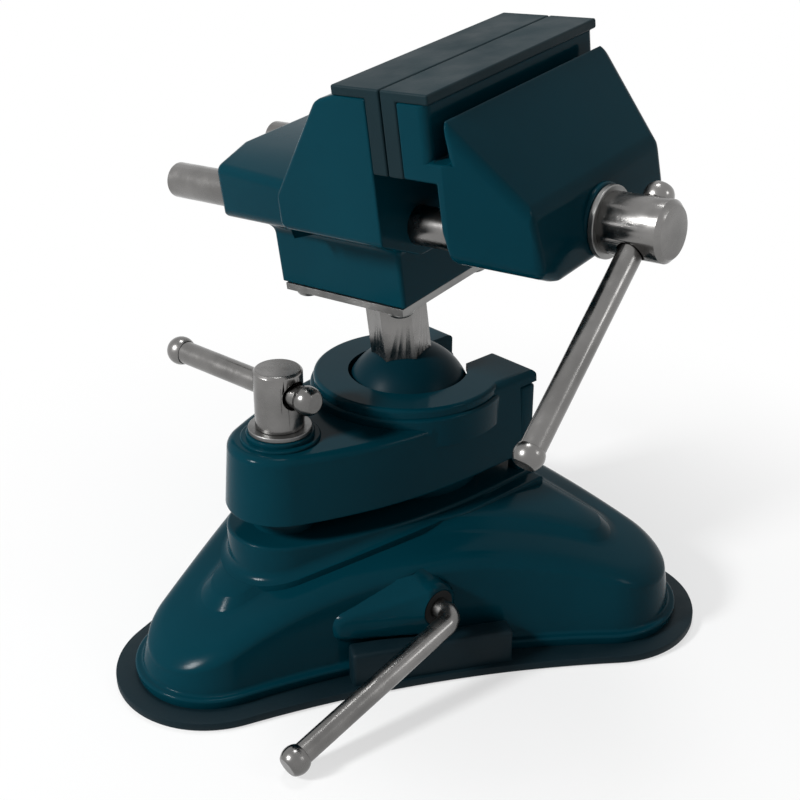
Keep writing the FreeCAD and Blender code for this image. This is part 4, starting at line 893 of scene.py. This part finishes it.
class Repeater:
    """A Geometry Nodes tree that repeats one small object and joins the result."""

    def __init__(self, name: str) -> None:
        """Starts a tree with its named inputs.

        Args:
            name: name of the tree.
        """
        self.tree = bpy.data.node_groups.new(name, "GeometryNodeTree")
        face = self.tree.interface
        self.sockets = {
            label: face.new_socket(name=label, in_out="INPUT", socket_type=kind).identifier
            for label, kind in (
                ("Pattern", "NodeSocketObject"),
                ("Spacing X", "NodeSocketFloat"),
                ("Spacing Y", "NodeSocketFloat"),
                ("Turn Each", "NodeSocketFloat"),
                ("Finish", "NodeSocketMaterial"),
            )
        }
        face.new_socket(name="Geometry", in_out="OUTPUT", socket_type="NodeSocketGeometry")

    def wire(self, across: int, deep: int) -> None:
        """Wires a grid of points to instances of the pattern.

        Args:
            across: number of points along X.
            deep: number of points along Y.
        """
        nodes, links = self.tree.nodes, self.tree.links
        given = nodes.new("NodeGroupInput").outputs
        grid = nodes.new("GeometryNodeMeshGrid")
        grid.inputs["Vertices X"].default_value = across
        grid.inputs["Vertices Y"].default_value = deep
        links.new(given["Spacing X"], grid.inputs["Size X"])
        links.new(given["Spacing Y"], grid.inputs["Size Y"])
        pattern = nodes.new("GeometryNodeObjectInfo")
        links.new(given["Pattern"], pattern.inputs["Object"])
        number = nodes.new("GeometryNodeInputIndex")
        turn = nodes.new("ShaderNodeMath")
        turn.operation = "MULTIPLY"
        links.new(number.outputs["Index"], turn.inputs[0])
        links.new(given["Turn Each"], turn.inputs[1])
        way = nodes.new("ShaderNodeCombineXYZ")
        links.new(turn.outputs["Value"], way.inputs["Y"])
        spread = nodes.new("GeometryNodeInstanceOnPoints")
        links.new(grid.outputs["Mesh"], spread.inputs["Points"])
        links.new(pattern.outputs["Geometry"], spread.inputs["Instance"])
        links.new(way.outputs["Vector"], spread.inputs["Rotation"])
        real = nodes.new("GeometryNodeRealizeInstances")
        links.new(spread.outputs["Instances"], real.inputs["Geometry"])
        finish = nodes.new("GeometryNodeSetMaterial")
        links.new(real.outputs["Geometry"], finish.inputs["Geometry"])
        links.new(given["Finish"], finish.inputs["Material"])
        links.new(finish.outputs["Geometry"], nodes.new("NodeGroupOutput").inputs["Geometry"])

    def make(self, name: str, pattern: Piece, place: Matrix, **values: object) -> Piece:
        """Runs the tree and keeps its result as a plain mesh.

        Args:
            name: name of the piece.
            pattern: the object that is repeated. It is removed.
            place: where the result goes, in millimetres.
            **values: inputs of the tree, their names with _ for a space.

        Returns:
            The piece.
        """
        made = bpy.data.objects.new(name, bpy.data.meshes.new(name))
        bpy.context.scene.collection.objects.link(made)
        live = made.modifiers.new(name, "NODES")
        live.node_group = self.tree
        live[self.sockets["Pattern"]] = pattern
        for label, value in values.items():
            live[self.sockets[label.replace("_", " ")]] = value
        apply_modifiers(made)
        bpy.data.objects.remove(pattern)
        move = place.copy()
        move.translation = place.translation * MM
        made.data.transform(move)
        return made


@dataclass
class BallClamp:
    """The hinged cap over the ball with its screw, washer and bar."""

    shop: Workshop
    bottom: float = 44.5
    low_top: float = 64.0
    top: float = 69.6
    rear: float = 27.4
    draft: float = 0.0752
    edge: float = 2.2
    throat: float = 17.4
    hinge_x: float = 23.65
    hinge_height: float = 50.0

    def drafted(self, top: float, inset: float = 0.0) -> Piece:
        """The cap's walls up to one level, leaning inwards, with rounded edges.

        Args:
            top: that level.
            inset: how far the walls stand inside the cap's outline.

        Returns:
            The walls, solid.
        """
        outline = KeelOutline(rear=self.rear + (self.top - self.bottom) * self.draft)
        foot = self.bottom
        steps = [(foot, -0.7), (foot + 0.2, -0.2), (foot + 0.7, 0.0), (top - self.edge, 0.0)]
        steps += [(top - self.edge * down, -self.edge * inward) for inward, down in quarter(8)[1:]]
        form = Shell()
        rings = []
        for height, grow in steps:
            lean = (height - foot) * self.draft
            rings.append(at_height(outline.points(grow - inset - lean), height))
        form.loft(rings)
        return Casting.plain(form)

    def rounded_disc(self, x: float, radius: float, low: float, high: float, edge: float) -> Piece:
        """An upright round boss with a rounded rim.

        Args:
            x: where its axis is.
            radius: its radius.
            low: its lower end.
            high: its upper end.
            edge: radius of the rim's rounding.

        Returns:
            The boss.
        """
        profile = [(radius, low)]
        profile += [(radius - edge * inward, high - edge * down) for inward, down in quarter(7)]
        form = Shell()
        form.turned(profile, Matrix.Translation((x, 0, 0)), 144)
        return Casting.plain(form)

    @staticmethod
    def box(low: Point, high: Point) -> Piece:
        """A plain box between two corners, for cutting."""
        form = Shell()
        (x0, y0, z0), (x1, y1, z1) = low, high
        form.loft([np.array([(x0, y0, z), (x1, y0, z), (x1, y1, z), (x0, y1, z)]) for z in (z0, z1)])
        return Casting.plain(form)

    def cap(self) -> Piece:
        """The cap: drafted walls, the two-stepped ring, the screw's seat, and what is cut from them."""
        upper = Casting()
        upper.combine("INTERSECT", self.drafted(self.top, 0.02), self.box((0.3, -40, 55), (40, 40, 80)))
        upper.combine(
            "UNION",
            self.rounded_disc(0, 27.5, 58, self.top, 1.1),
            self.rounded_disc(0, 28.5, 58, 66.8, 0.9),
        )
        upper.combine("INTERSECT", self.box((-40, -40, 50), (self.rear - 0.05, 40, 80)))
        cast = Casting()
        cast.combine("UNION", self.drafted(self.low_top), upper.made)
        cast.combine("UNION", self.rounded_disc(CLAMP_SCREW_X, 11, 60, 64.8, 0.5))
        cast.combine("UNION", self.rounded_disc(CLAMP_SCREW_X, 9.4, 60, 66.1, 0.5))
        hollow = [(0.5, 38), (22.1, 38), (22.1, 53), (19.8, 53), (19.8, 58.9)]
        for rise in np.linspace(0, math.sqrt(BALL_SEAT**2 - self.throat**2), 9):
            hollow.append((math.sqrt(BALL_SEAT**2 - rise**2), BALL_HEIGHT + rise))
        seat = Shell()
        seat.turned([*hollow, (self.throat, 80), (0.5, 80)], Matrix.Identity(4), 144)
        cast.combine("DIFFERENCE", Casting.plain(seat))
        low, high = (Vector((CLAMP_SCREW_X, 0, level)) for level in (38, 80))
        cast.combine("DIFFERENCE", cast.tube(4.1, low, high))
        cast.combine("DIFFERENCE", self.box((4, -9.25, 37), (41, 9.25, 81)))
        for sign in (-1, 1):
            near, far = sorted((sign * 20.2, sign * 40.0))
            cast.combine("DIFFERENCE", self.box((20.5, near, 39), (42, far, 65.8)))
            inner, outer = (Vector((self.hinge_x, sign * y, self.hinge_height)) for y in (16.5, 24.4))
            cast.combine("DIFFERENCE", cast.tube(1.55, inner, outer))
        return cast.finish("clamp_cap_enamelled")

    def build(self) -> None:
        """Makes the pieces."""
        self.shop.dress(self.cap(), "clamp_cap")
        self.shop.copy(
            ("clamp_screw", "clamp_screw_head", Edge.TURNED),
            ("clamp_washer", "clamp_screw_washer", Edge.TURNED),
            ("clamp_handle", "clamp_bar", Edge.CRISP),
            ("clamp_handle_balls", "clamp_bar_ends", Edge.TURNED),
        )


@dataclass
class BallStem:
    """The ball and the hexagonal post on it."""

    shop: Workshop
    radius: float = 19.0

    def build(self) -> None:
        """Makes the ball and the post."""
        form = Shell()
        turns = np.linspace(0.02, math.pi - 0.02, 72)
        profile = [(self.radius * math.sin(turn), -self.radius * math.cos(turn)) for turn in turns]
        form.turned(profile, Matrix.Translation((0, 0, BALL_HEIGHT)), 128)
        self.shop.dress(form.finish("ball_round", 60.0), "ball")
        self.shop.copy(("hex_post", "hex_post_bar", Edge.TURNED))
        self.shop.keep("post_bolt")


@dataclass
class HeadFrame:
    """Where the head stands, leaned and turned as photographed, and what both of its jaws share."""

    lean_side: float = -2.6
    lean_nose: float = -6.1
    swivel: float = 8.3
    jaw_line: float = 33.9
    jaw_top: float = 105.8
    lip: float = 2.5
    seat: float = 4.65
    half: float = 35.0
    block: float = 20.6
    bottom: float = 46.5
    shaft_drop: float = 38.5
    rod_x: float = 20.0

    def ends(self) -> Outline:
        """A jaw's outline seen along the screw, as x and the distance below the pads' top."""
        half, block, low = self.half, self.block, self.bottom
        return [(-half, 39), (-block, low), (block, low), (half, 39), (half, -1), (-half, -1)]

    def matrix(self) -> Matrix:
        """Place of the head's own axes, in millimetres."""
        turns = (("X", self.lean_side), ("Y", self.lean_nose), ("Z", self.swivel))
        place = Matrix.Translation((0, 0, BALL_HEIGHT))
        for axis, angle in turns:
            place = place @ Matrix.Rotation(math.radians(angle), 4, axis)
        return place

    def point(self, x: float, behind: float, below: float) -> Vector:
        """A point of the head.

        Args:
            x: along the jaws' width.
            behind: behind the line where the pads meet.
            below: below the pads' top.

        Returns:
            Its place in the row frame, in millimetres.
        """
        return self.matrix() @ Vector((x, behind - self.jaw_line, self.jaw_top - below))


class Casting:
    """A casting put together from simple forms, in millimetres; one of the head lies in the head's axes."""

    def __init__(self, place: HeadFrame | None = None) -> None:
        """Starts with nothing.

        Args:
            place: where the head stands, for a casting of the head.
        """
        self.place = place
        self.made: Piece | None = None

    def spot(self, x: float, behind: float, drop: float) -> Vector:
        """A point given as in HeadFrame.point, in the head's own axes."""
        return Vector((x, behind - self.place.jaw_line, self.place.jaw_top - drop))

    def slab(self, across: str, outline: Outline, low: float, high: float) -> Piece:
        """Pushes an outline along one axis.

        Args:
            across: "x", "behind" or "drop"; the outline gives the other two, in this order.
            outline: its corners.
            low: where it starts along that axis.
            high: where it ends.

        Returns:
            The slab.
        """
        form = Shell()
        index = ("x", "behind", "drop").index(across)
        rings = []
        for level in (low, high):
            corners = [list(corner) for corner in outline]
            for corner in corners:
                corner.insert(index, level)
            rings.append(np.array([self.spot(*corner) for corner in corners]))
        form.loft(rings)
        return self.plain(form)

    def tube(self, radius: float, start: Vector, end: Vector, rim: float = 0.0) -> Piece:
        """A round bar between two points.

        Args:
            radius: its radius.
            start: one end.
            end: the other end.
            rim: radius of the rounding at its start.

        Returns:
            The bar.
        """
        form = Shell()
        profile = [(radius, (end - start).length)]
        profile += [(radius - rim * inward, rim * down) for inward, down in quarter(6 if rim else 1)]
        form.turned(profile[::-1], axis_place(start, end - start), 72)
        return self.plain(form)

    @staticmethod
    def plain(form: Shell) -> Piece:
        """Turns collected forms into an object that stays in millimetres."""
        bmesh.ops.recalc_face_normals(form.mesh, faces=form.mesh.faces)
        return as_object("blank", form.mesh, 30.0)

    def combine(self, operation: str, *tools: Piece) -> None:
        """Joins, intersects or cuts with other forms, which are used up.

        Args:
            operation: Blender's name of the operation.
            *tools: the other forms.
        """
        for tool in tools:
            if self.made is None:
                self.made = tool
                continue
            carve = self.made.modifiers.new("carve", "BOOLEAN")
            carve.object = tool
            carve.operation = operation
            carve.solver = "EXACT"
            apply_modifiers(self.made)
            bpy.data.objects.remove(tool)

    def bore(self, radius: float, x: float, start: float, end: float) -> None:
        """Drills a hole along the screw's direction, at the height of the rods and the screw.

        Args:
            radius: radius of the hole.
            x: where it is along the jaws' width.
            start: its first end, behind the line where the pads meet.
            end: its other end.
        """
        drop = self.place.shaft_drop
        self.combine("DIFFERENCE", self.tube(radius, self.spot(x, start, drop), self.spot(x, end, drop)))

    def soften(self, radius: float, weigh: Callable[[Vector], float], sharp_deg: float = 20.0) -> None:
        """Rounds the edges.

        Args:
            radius: largest radius.
            weigh: share of that radius for an edge, from its middle in the head's own axes.
            sharp_deg: edges that turn by more than this are rounded.
        """
        mesh = bmesh.new()
        mesh.from_mesh(self.made.data)
        bmesh.ops.remove_doubles(mesh, verts=mesh.verts, dist=CAST_WELD)
        bmesh.ops.dissolve_limit(mesh, angle_limit=math.radians(0.3), verts=mesh.verts, edges=mesh.edges)
        weights = mesh.edges.layers.float.new("bevel_weight_edge")
        for edge in mesh.edges:
            if len(edge.link_faces) == 2 and edge.calc_face_angle(0.0) > math.radians(sharp_deg):
                edge[weights] = weigh((edge.verts[0].co + edge.verts[1].co) / 2)
        mesh.to_mesh(self.made.data)
        mesh.free()
        bevel = self.made.modifiers.new("rounded edges", "BEVEL")
        bevel.width = radius
        bevel.segments = CAST_STEPS
        bevel.limit_method = "WEIGHT"
        bevel.use_clamp_overlap = False
        apply_modifiers(self.made)

    def finish(self, name: str) -> Piece:
        """Puts the casting in its place.

        Args:
            name: name of the piece.

        Returns:
            The piece, in metres.
        """
        made = self.made
        made.name = made.data.name = name
        own = self.place.matrix() if self.place else Matrix.Identity(4)
        made.data.transform(Matrix.Scale(MM, 4) @ own)
        made.data.shade_smooth()
        made.data.set_sharp_from_angle(angle=math.radians(CAST_SHADE_DEG))
        flat = made.modifiers.new("flat faces stay flat", "WEIGHTED_NORMAL")
        flat.keep_sharp = True
        apply_modifiers(made)
        return made


@dataclass
class FixedHead:
    """The fixed jaw with its tail, pad, mounting plate and screws."""

    shop: Workshop
    place: HeadFrame
    screw_spacing: float = 33.0
    head: float = 3.6
    head_thick: float = 2.4
    shank: float = 2.0
    plate_low: float = 40.6

    def pan_head(self) -> Piece:
        """One pan-head screw with a cross recess, pointing up, in metres."""
        form = Shell()
        core, flat, length = 0.05, 0.7, 8.0
        profile = [(core, -self.head_thick)]
        for turn in np.linspace(0.1, math.pi / 2, 9):
            profile.append((flat + (self.head - flat) * math.sin(turn), -0.9 - 1.5 * math.cos(turn)))
        profile += [(self.head, -0.15), (self.head - 0.15, 0.0), (self.shank, 0.0)]
        profile += [(self.shank, length), (core, length)]
        form.turned(profile, Matrix.Identity(4), 40)
        head = form.finish("pan_head", 35.0)
        for turned in (0.0, math.pi / 2):
            tool = Shell()
            tool.cushion_box((-1.9, -0.32, -3.0), (1.9, 0.32, -1.3), 0.1, Matrix.Rotation(turned, 4, "Z"))
            blade = tool.finish("recess", 35.0)
            carve = head.modifiers.new("recess", "BOOLEAN")
            carve.object = blade
            carve.operation = "DIFFERENCE"
            apply_modifiers(head)
            bpy.data.objects.remove(blade)
        return head

    def jaw(self) -> Piece:
        """The fixed jaw and its tail as the one casting that they look like."""
        place, foot, rear = self.place, 63.2, 70.5
        block, seat, bottom, half, lip = place.block, place.seat, place.bottom, place.half, place.lip
        cast = Casting(place)
        web = [(seat, bottom), (38.6, bottom), (38.6, 30.4), (20.9, 4.3), (14.7, lip), (seat, lip)]
        cast.combine("INTERSECT", cast.slab("x", web, -half, half))
        cast.combine("INTERSECT", cast.slab("behind", place.ends(), -1, 40))
        tail = Casting(place)
        sides = [(-30, 41.604), (-block, bottom), (block, bottom), (30, 41.604)]
        sides += [(30, 30.7), (14, 26.3), (-14, 26.3), (-30, 30.7)]
        tail.combine("INTERSECT", tail.slab("behind", sides, 20, rear))
        plan = [(-30, 20), (30, 20), (26, rear), (-26, rear)]
        tail.combine("INTERSECT", tail.slab("drop", plan, 20, 50))
        column = [(-block, 12.6), (block, 12.6), (block, 56.9), (-block, 56.9)]
        cast.combine("UNION", tail.made, cast.slab("drop", column, 44, foot))

        def weigh(middle: Vector) -> float:
            behind = middle.y + place.jaw_line
            drop = place.jaw_top - middle.z
            flat_end = behind > rear - 0.5 and drop > 42
            if behind < seat + 0.1 or drop < lip + 0.1 or drop > foot - 0.1 or flat_end:
                return 0.25
            return 0.55 if abs(middle.x) > half - 0.5 or drop > 50 else 1.0

        cast.soften(2.2, weigh)
        for x, radius in ((-place.rod_x, 5.05), (place.rod_x, 5.05), (0, 5.6)):
            cast.bore(radius, x, -5, 95)
        mortise = [(-6.5, 32), (6.5, 32), (6.5, 45), (-6.5, 45)]
        cast.combine("DIFFERENCE", cast.slab("behind", mortise, 0, 17.65))
        socket = (cast.spot(0, place.jaw_line, 66), cast.spot(0, place.jaw_line, 57.2))
        cast.combine("DIFFERENCE", cast.tube(8.0, *socket))
        return cast.finish("fixed_jaw_enamelled")

    def build(self) -> None:
        """Makes the pieces."""
        shop = self.shop
        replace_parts(shop.dress(self.jaw(), "fixed_jaw"), "jaw_tail")
        shop.copy(
            ("fixed_jaw_pad", "fixed_jaw_rubber", Edge.MOULDED),
            ("mount_plate", "square_plate", Edge.SHEET),
        )
        grid = Repeater("screws at the corners of a plate")
        grid.wire(2, 2)
        screws = grid.make(
            "plate_screw_set",
            self.pan_head(),
            self.place.matrix() @ Matrix.Translation((0, 0, self.plate_low)),
            Spacing_X=self.screw_spacing * MM,
            Spacing_Y=self.screw_spacing * MM,
            Turn_Each=0.0,
            Finish=shop.materials["zinc_steel"],
        )
        shop.dress(screws, "plate_screws")
        shop.keep("lead_nut", "nut_screw")


@dataclass
class MovingJaw:
    """The moving jaw with its pad and guide rods."""

    shop: Workshop
    place: HeadFrame

    def jaw(self) -> Piece:
        """The moving jaw; its side is given by distances in front of the line where the pads meet."""
        place, nose, slot_top = self.place, 36.6, 15.7
        block, seat, bottom, half, lip = place.block, place.seat, place.bottom, place.half, place.lip
        cast = Casting(place)
        side = [(14, block), (14.2, 32), (16.8, 42), (18.2, bottom), (nose, bottom), (nose, 40)]
        side += [(34.9, 27.1), (16, 5.5), (17.2, slot_top), (13, slot_top), (13, lip)]
        side += [(seat, lip), (seat, block)]
        cast.combine("UNION", cast.slab("x", [(-ahead, drop) for ahead, drop in side], -half, half))
        narrow = 27.8
        plan = [(-half, 1), (half, 1), (half, -16), (narrow, -nose), (narrow, -40)]
        plan += [(-narrow, -40), (-narrow, -nose), (-half, -16)]
        cast.combine("INTERSECT", cast.slab("drop", plan, -1, 50))
        cast.combine("INTERSECT", cast.slab("behind", place.ends(), -40, 1))

        def weigh(middle: Vector) -> float:
            ahead = -(middle.y + place.jaw_line)
            drop = place.jaw_top - middle.z
            if ahead < seat + 0.1 or drop < lip + 0.1 or abs(drop - slot_top) < 0.1:
                return 0.25
            if drop > 16 and ahead < 18.5:
                return 0.1 if ahead > 15.9 and drop < 39 else 0.35
            if ahead > 34.5 and abs(middle.x) > 27 and drop < 40:
                return 0.5
            return 0.6 if drop < 6 else 1.0

        cast.soften(2.4, weigh, 12.0)
        boss = Casting(place)
        drop = place.shaft_drop
        boss.combine("INTERSECT", boss.tube(9.5, boss.spot(0, -nose, drop), boss.spot(0, -30, drop), 0.8))
        front = [(-12, -29), (12, -29), (12, -40), (-12, -40)]
        boss.combine("INTERSECT", boss.slab("drop", front, 25, 43))
        cast.combine("UNION", boss.made)
        rods = (-place.rod_x, place.rod_x)
        for x, radius, depth in ((0, 5.1, 60), (0, 7.6, 18.5), *((x, 5.02, 32) for x in rods)):
            cast.bore(radius, x, 0, -depth)
        for x in rods:
            cast.combine("DIFFERENCE", cast.tube(1.52, cast.spot(x, -27, 52), cast.spot(x, -27, 31)))
        return cast.finish("moving_jaw_enamelled")

    def build(self) -> None:
        """Makes the pieces."""
        self.shop.dress(self.jaw(), "moving_jaw")
        self.shop.copy(
            ("moving_jaw_pad", "moving_jaw_rubber", Edge.MOULDED),
            ("guide_rods", "guide_rod_pair", Edge.TURNED),
        )
        self.shop.keep("rod_pins")


@dataclass
class MainScrew:
    """The main screw with its cut thread, thick head, washer and bar."""

    shop: Workshop
    place: HeadFrame
    crest: float = 5.0
    root: float = 4.3
    rooted: float = 0.3
    pitch: float = 2.0
    thread_start: float = -11.0
    thread_end: float = 64.8
    facets: int = 28

    def threaded(self) -> Piece:
        """The screw with a helical thread in place of its smooth shank."""
        made = self.shop.rounded("lead_screw", "main_screw", Edge.TURNED)
        drop = self.place.shaft_drop
        start = self.place.point(0, self.thread_start, drop)
        along = (self.place.point(0, self.thread_end, drop) - start).normalized()
        form = Shell()
        form.mesh.from_mesh(made.data)
        bmesh.ops.scale(form.mesh, vec=(1 / MM, 1 / MM, 1 / MM), verts=form.mesh.verts)
        for vert in form.mesh.verts:
            offset = vert.co - start
            far = offset.dot(along)
            radial = offset - along * far
            if far > 0 and radial.length > self.root:
                vert.co -= radial * (1 - self.root / radial.length)
        bpy.data.objects.remove(made)
        self.helix(form, axis_place(start, along))
        return form.finish("main_screw_threaded", 30.0)

    def helix(self, form: Shell, place: Matrix) -> None:
        """Adds the thread's ridge as one long closed form.

        Args:
            form: the shape that it is added to.
            place: start and direction of the screw's axis.
        """
        length = self.thread_end - self.thread_start - self.pitch
        count = int(length / self.pitch * self.facets)
        foot, root, crest = self.root - self.rooted, self.root, self.crest
        section = ((foot, -0.85), (root, -0.8), (crest, -0.3), (crest, 0.3), (root, 0.8), (foot, 0.85))
        rings = []
        for index in range(count + 1):
            turn = math.tau * index / self.facets
            height = self.pitch / 2 + self.pitch * index / self.facets
            taper = min(1.0, index / self.facets, (count - index) / self.facets)
            ring = []
            for radius, off in section:
                reach = foot + (radius - root + self.rooted) * max(taper, 0.05)
                ring.append(place @ Vector((reach * math.cos(turn), reach * math.sin(turn), height + off)))
            rings.append(np.array(ring))
        form.loft(rings)

    def build(self) -> None:
        """Makes the pieces."""
        self.shop.dress(self.threaded(), "lead_screw")
        self.shop.copy(
            ("screw_collar", "screw_head_washer", Edge.TURNED),
            ("screw_handle", "main_bar", Edge.CRISP),
            ("screw_handle_balls", "main_bar_ends", Edge.TURNED),
        )
        self.shop.keep("screw_clip")


@dataclass
class SuctionLever:
    """The bent lever with its end ball, and the hidden eccentric and lift."""

    shop: Workshop

    def build(self) -> None:
        """Makes the pieces."""
        self.shop.copy(
            ("suction_lever", "suction_lever_bar", Edge.CRISP),
            ("lever_ball", "suction_lever_end", Edge.TURNED),
        )
        self.shop.keep("lever_cam", "cam_pin", "lever_clip", "lever_bushes", "lift_plate", "lift_strap")
        self.shop.keep("strap_rivets", "clamp_pins", "clamp_nut")


@dataclass
class Studio:
    """Floor, backdrop, lamps and the camera at the photograph's angle."""

    camera_at: Point = (-0.237, -0.256, 0.2315)
    look: Point = (0.605, 0.662, -0.443)
    lens: float = 59.4
    aim: Point = (0, 0, 0.09)
    floor_drop: float = 0.0004
    floor_radius: float = 6.0
    paper: Point = (0.86, 0.87, 0.87)
    fill: float = 0.15

    def paper_material(self) -> Material:
        """Pale paper that keeps its shadow near the object and turns plain white further out."""
        sheet = NodeSheet("studio paper")
        sheet.shader.inputs["Base Color"].default_value = (*self.paper, 1.0)
        sheet.shader.inputs["Roughness"].default_value = 0.9
        sheet.shader.inputs["Specular IOR Level"].default_value = 0.1
        distance = sheet.add("ShaderNodeVectorMath", operation="LENGTH")
        sheet.link(sheet.object_point, distance.inputs[0])
        far = sheet.add("ShaderNodeMapRange", interpolation_type="SMOOTHSTEP")
        far.inputs["From Min"].default_value = 0.05
        far.inputs["From Max"].default_value = 0.22
        far.inputs["To Min"].default_value = 0.6
        sheet.link(distance.outputs["Value"], far.inputs["Value"])
        share = sheet.add("ShaderNodeMath", operation="MULTIPLY")
        sheet.link(far.outputs["Result"], share.inputs[0])
        sheet.link(seen_rays(sheet.tree), share.inputs[1])
        white = sheet.add("ShaderNodeEmission")
        mix = sheet.add("ShaderNodeMixShader")
        sheet.link(share.outputs["Value"], mix.inputs["Fac"])
        sheet.link(sheet.shader.outputs["BSDF"], mix.inputs[1])
        sheet.link(white.outputs["Emission"], mix.inputs[2])
        sheet.link(mix.outputs["Shader"], sheet.tree.nodes["Material Output"].inputs["Surface"])
        return sheet.material

    def floor(self) -> None:
        """Makes the table top, which runs on behind the object as its background."""
        flat = bmesh.new()
        bmesh.ops.create_circle(flat, cap_ends=True, radius=self.floor_radius, segments=128)
        table = as_object("studio_floor", flat, 60.0)
        table.data.transform(Matrix.Translation((0, 0, -self.floor_drop)))
        table.data.materials.append(self.paper_material())
        table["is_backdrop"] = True

    def lamp(self, name: str, at: Point, size: tuple[float, float], power: float) -> None:
        """Adds a soft box that points at the object.

        Args:
            name: name of the lamp.
            at: its place.
            size: its width and height.
            power: its power in watts.
        """
        light = bpy.data.lights.new(name, "AREA")
        light.shape = "RECTANGLE"
        light.size, light.size_y = size
        light.energy = power
        made = bpy.data.objects.new(name, light)
        made.location = at
        made.rotation_euler = (Vector(self.aim) - Vector(at)).to_track_quat("-Z", "Y").to_euler()
        bpy.context.scene.collection.objects.link(made)

    def sky(self) -> None:
        """Sets the world: white where it is seen or mirrored, and plain fill light otherwise."""
        world = bpy.data.worlds.new("studio")
        bpy.context.scene.world = world
        world.use_nodes = True
        nodes, links = world.node_tree.nodes, world.node_tree.links
        back = nodes["Background"]
        level = nodes.new("ShaderNodeMapRange")
        level.inputs["To Min"].default_value = self.fill
        level.inputs["To Max"].default_value = 1.0
        links.new(seen_rays(world.node_tree), level.inputs["Value"])
        links.new(level.outputs["Result"], back.inputs["Strength"])
        back.inputs["Color"].default_value = (1.0, 1.0, 1.0, 1.0)

    def camera(self) -> None:
        """Puts the camera where the photograph was taken from."""
        lens = bpy.data.cameras.new("photo")
        lens.lens = self.lens
        lens.sensor_width = 36.0
        lens.clip_start = 0.01
        made = bpy.data.objects.new("photo", lens)
        made.location = self.camera_at
        made.rotation_euler = Vector(self.look).to_track_quat("-Z", "Y").to_euler()
        bpy.context.scene.collection.objects.link(made)
        bpy.context.scene.camera = made

    def build(self) -> None:
        """Sets up the whole studio."""
        bpy.context.scene.view_settings.view_transform = "Standard"
        self.camera()
        self.floor()
        self.sky()
        self.lamp("key", (-1.1, 0.3, 0.8), (0.22, 0.22), 20.0)
        self.lamp("front", (0.45, -1.1, 0.75), (0.3, 0.3), 1.5)
        self.lamp("top", (0.2, 0.3, 1.5), (0.35, 0.35), 6.0)


def write_sizes(cad: object, visual: object) -> None:
    """Puts the CAD box and the visual model's box into plain lists, which are not written anywhere.

    Args:
        cad: corners of the CAD box.
        visual: corners of the visual model's box.
    """
    plain = {
        label: [[float(value) for value in corner] for corner in box]
        for label, box in (("cad", cad), ("visual", visual))
    }


def main() -> None:
    """Builds every sub-assembly and the studio."""
    logging.basicConfig(level=logging.INFO, format="%(message)s")
    for made in list(bpy.data.objects):
        bpy.data.objects.remove(made)
    shop = Workshop()
    place = HeadFrame()
    Studio().build()
    SuctionBase(shop).build()
    SuctionPad(shop).build()
    BallClamp(shop).build()
    BallStem(shop).build()
    FixedHead(shop, place).build()
    MovingJaw(shop, place).build()
    MainScrew(shop, place).build()
    SuctionLever(shop).build()
    write_sizes(shop.cad_bounds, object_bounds())


if __name__ == "__main__":
    main()
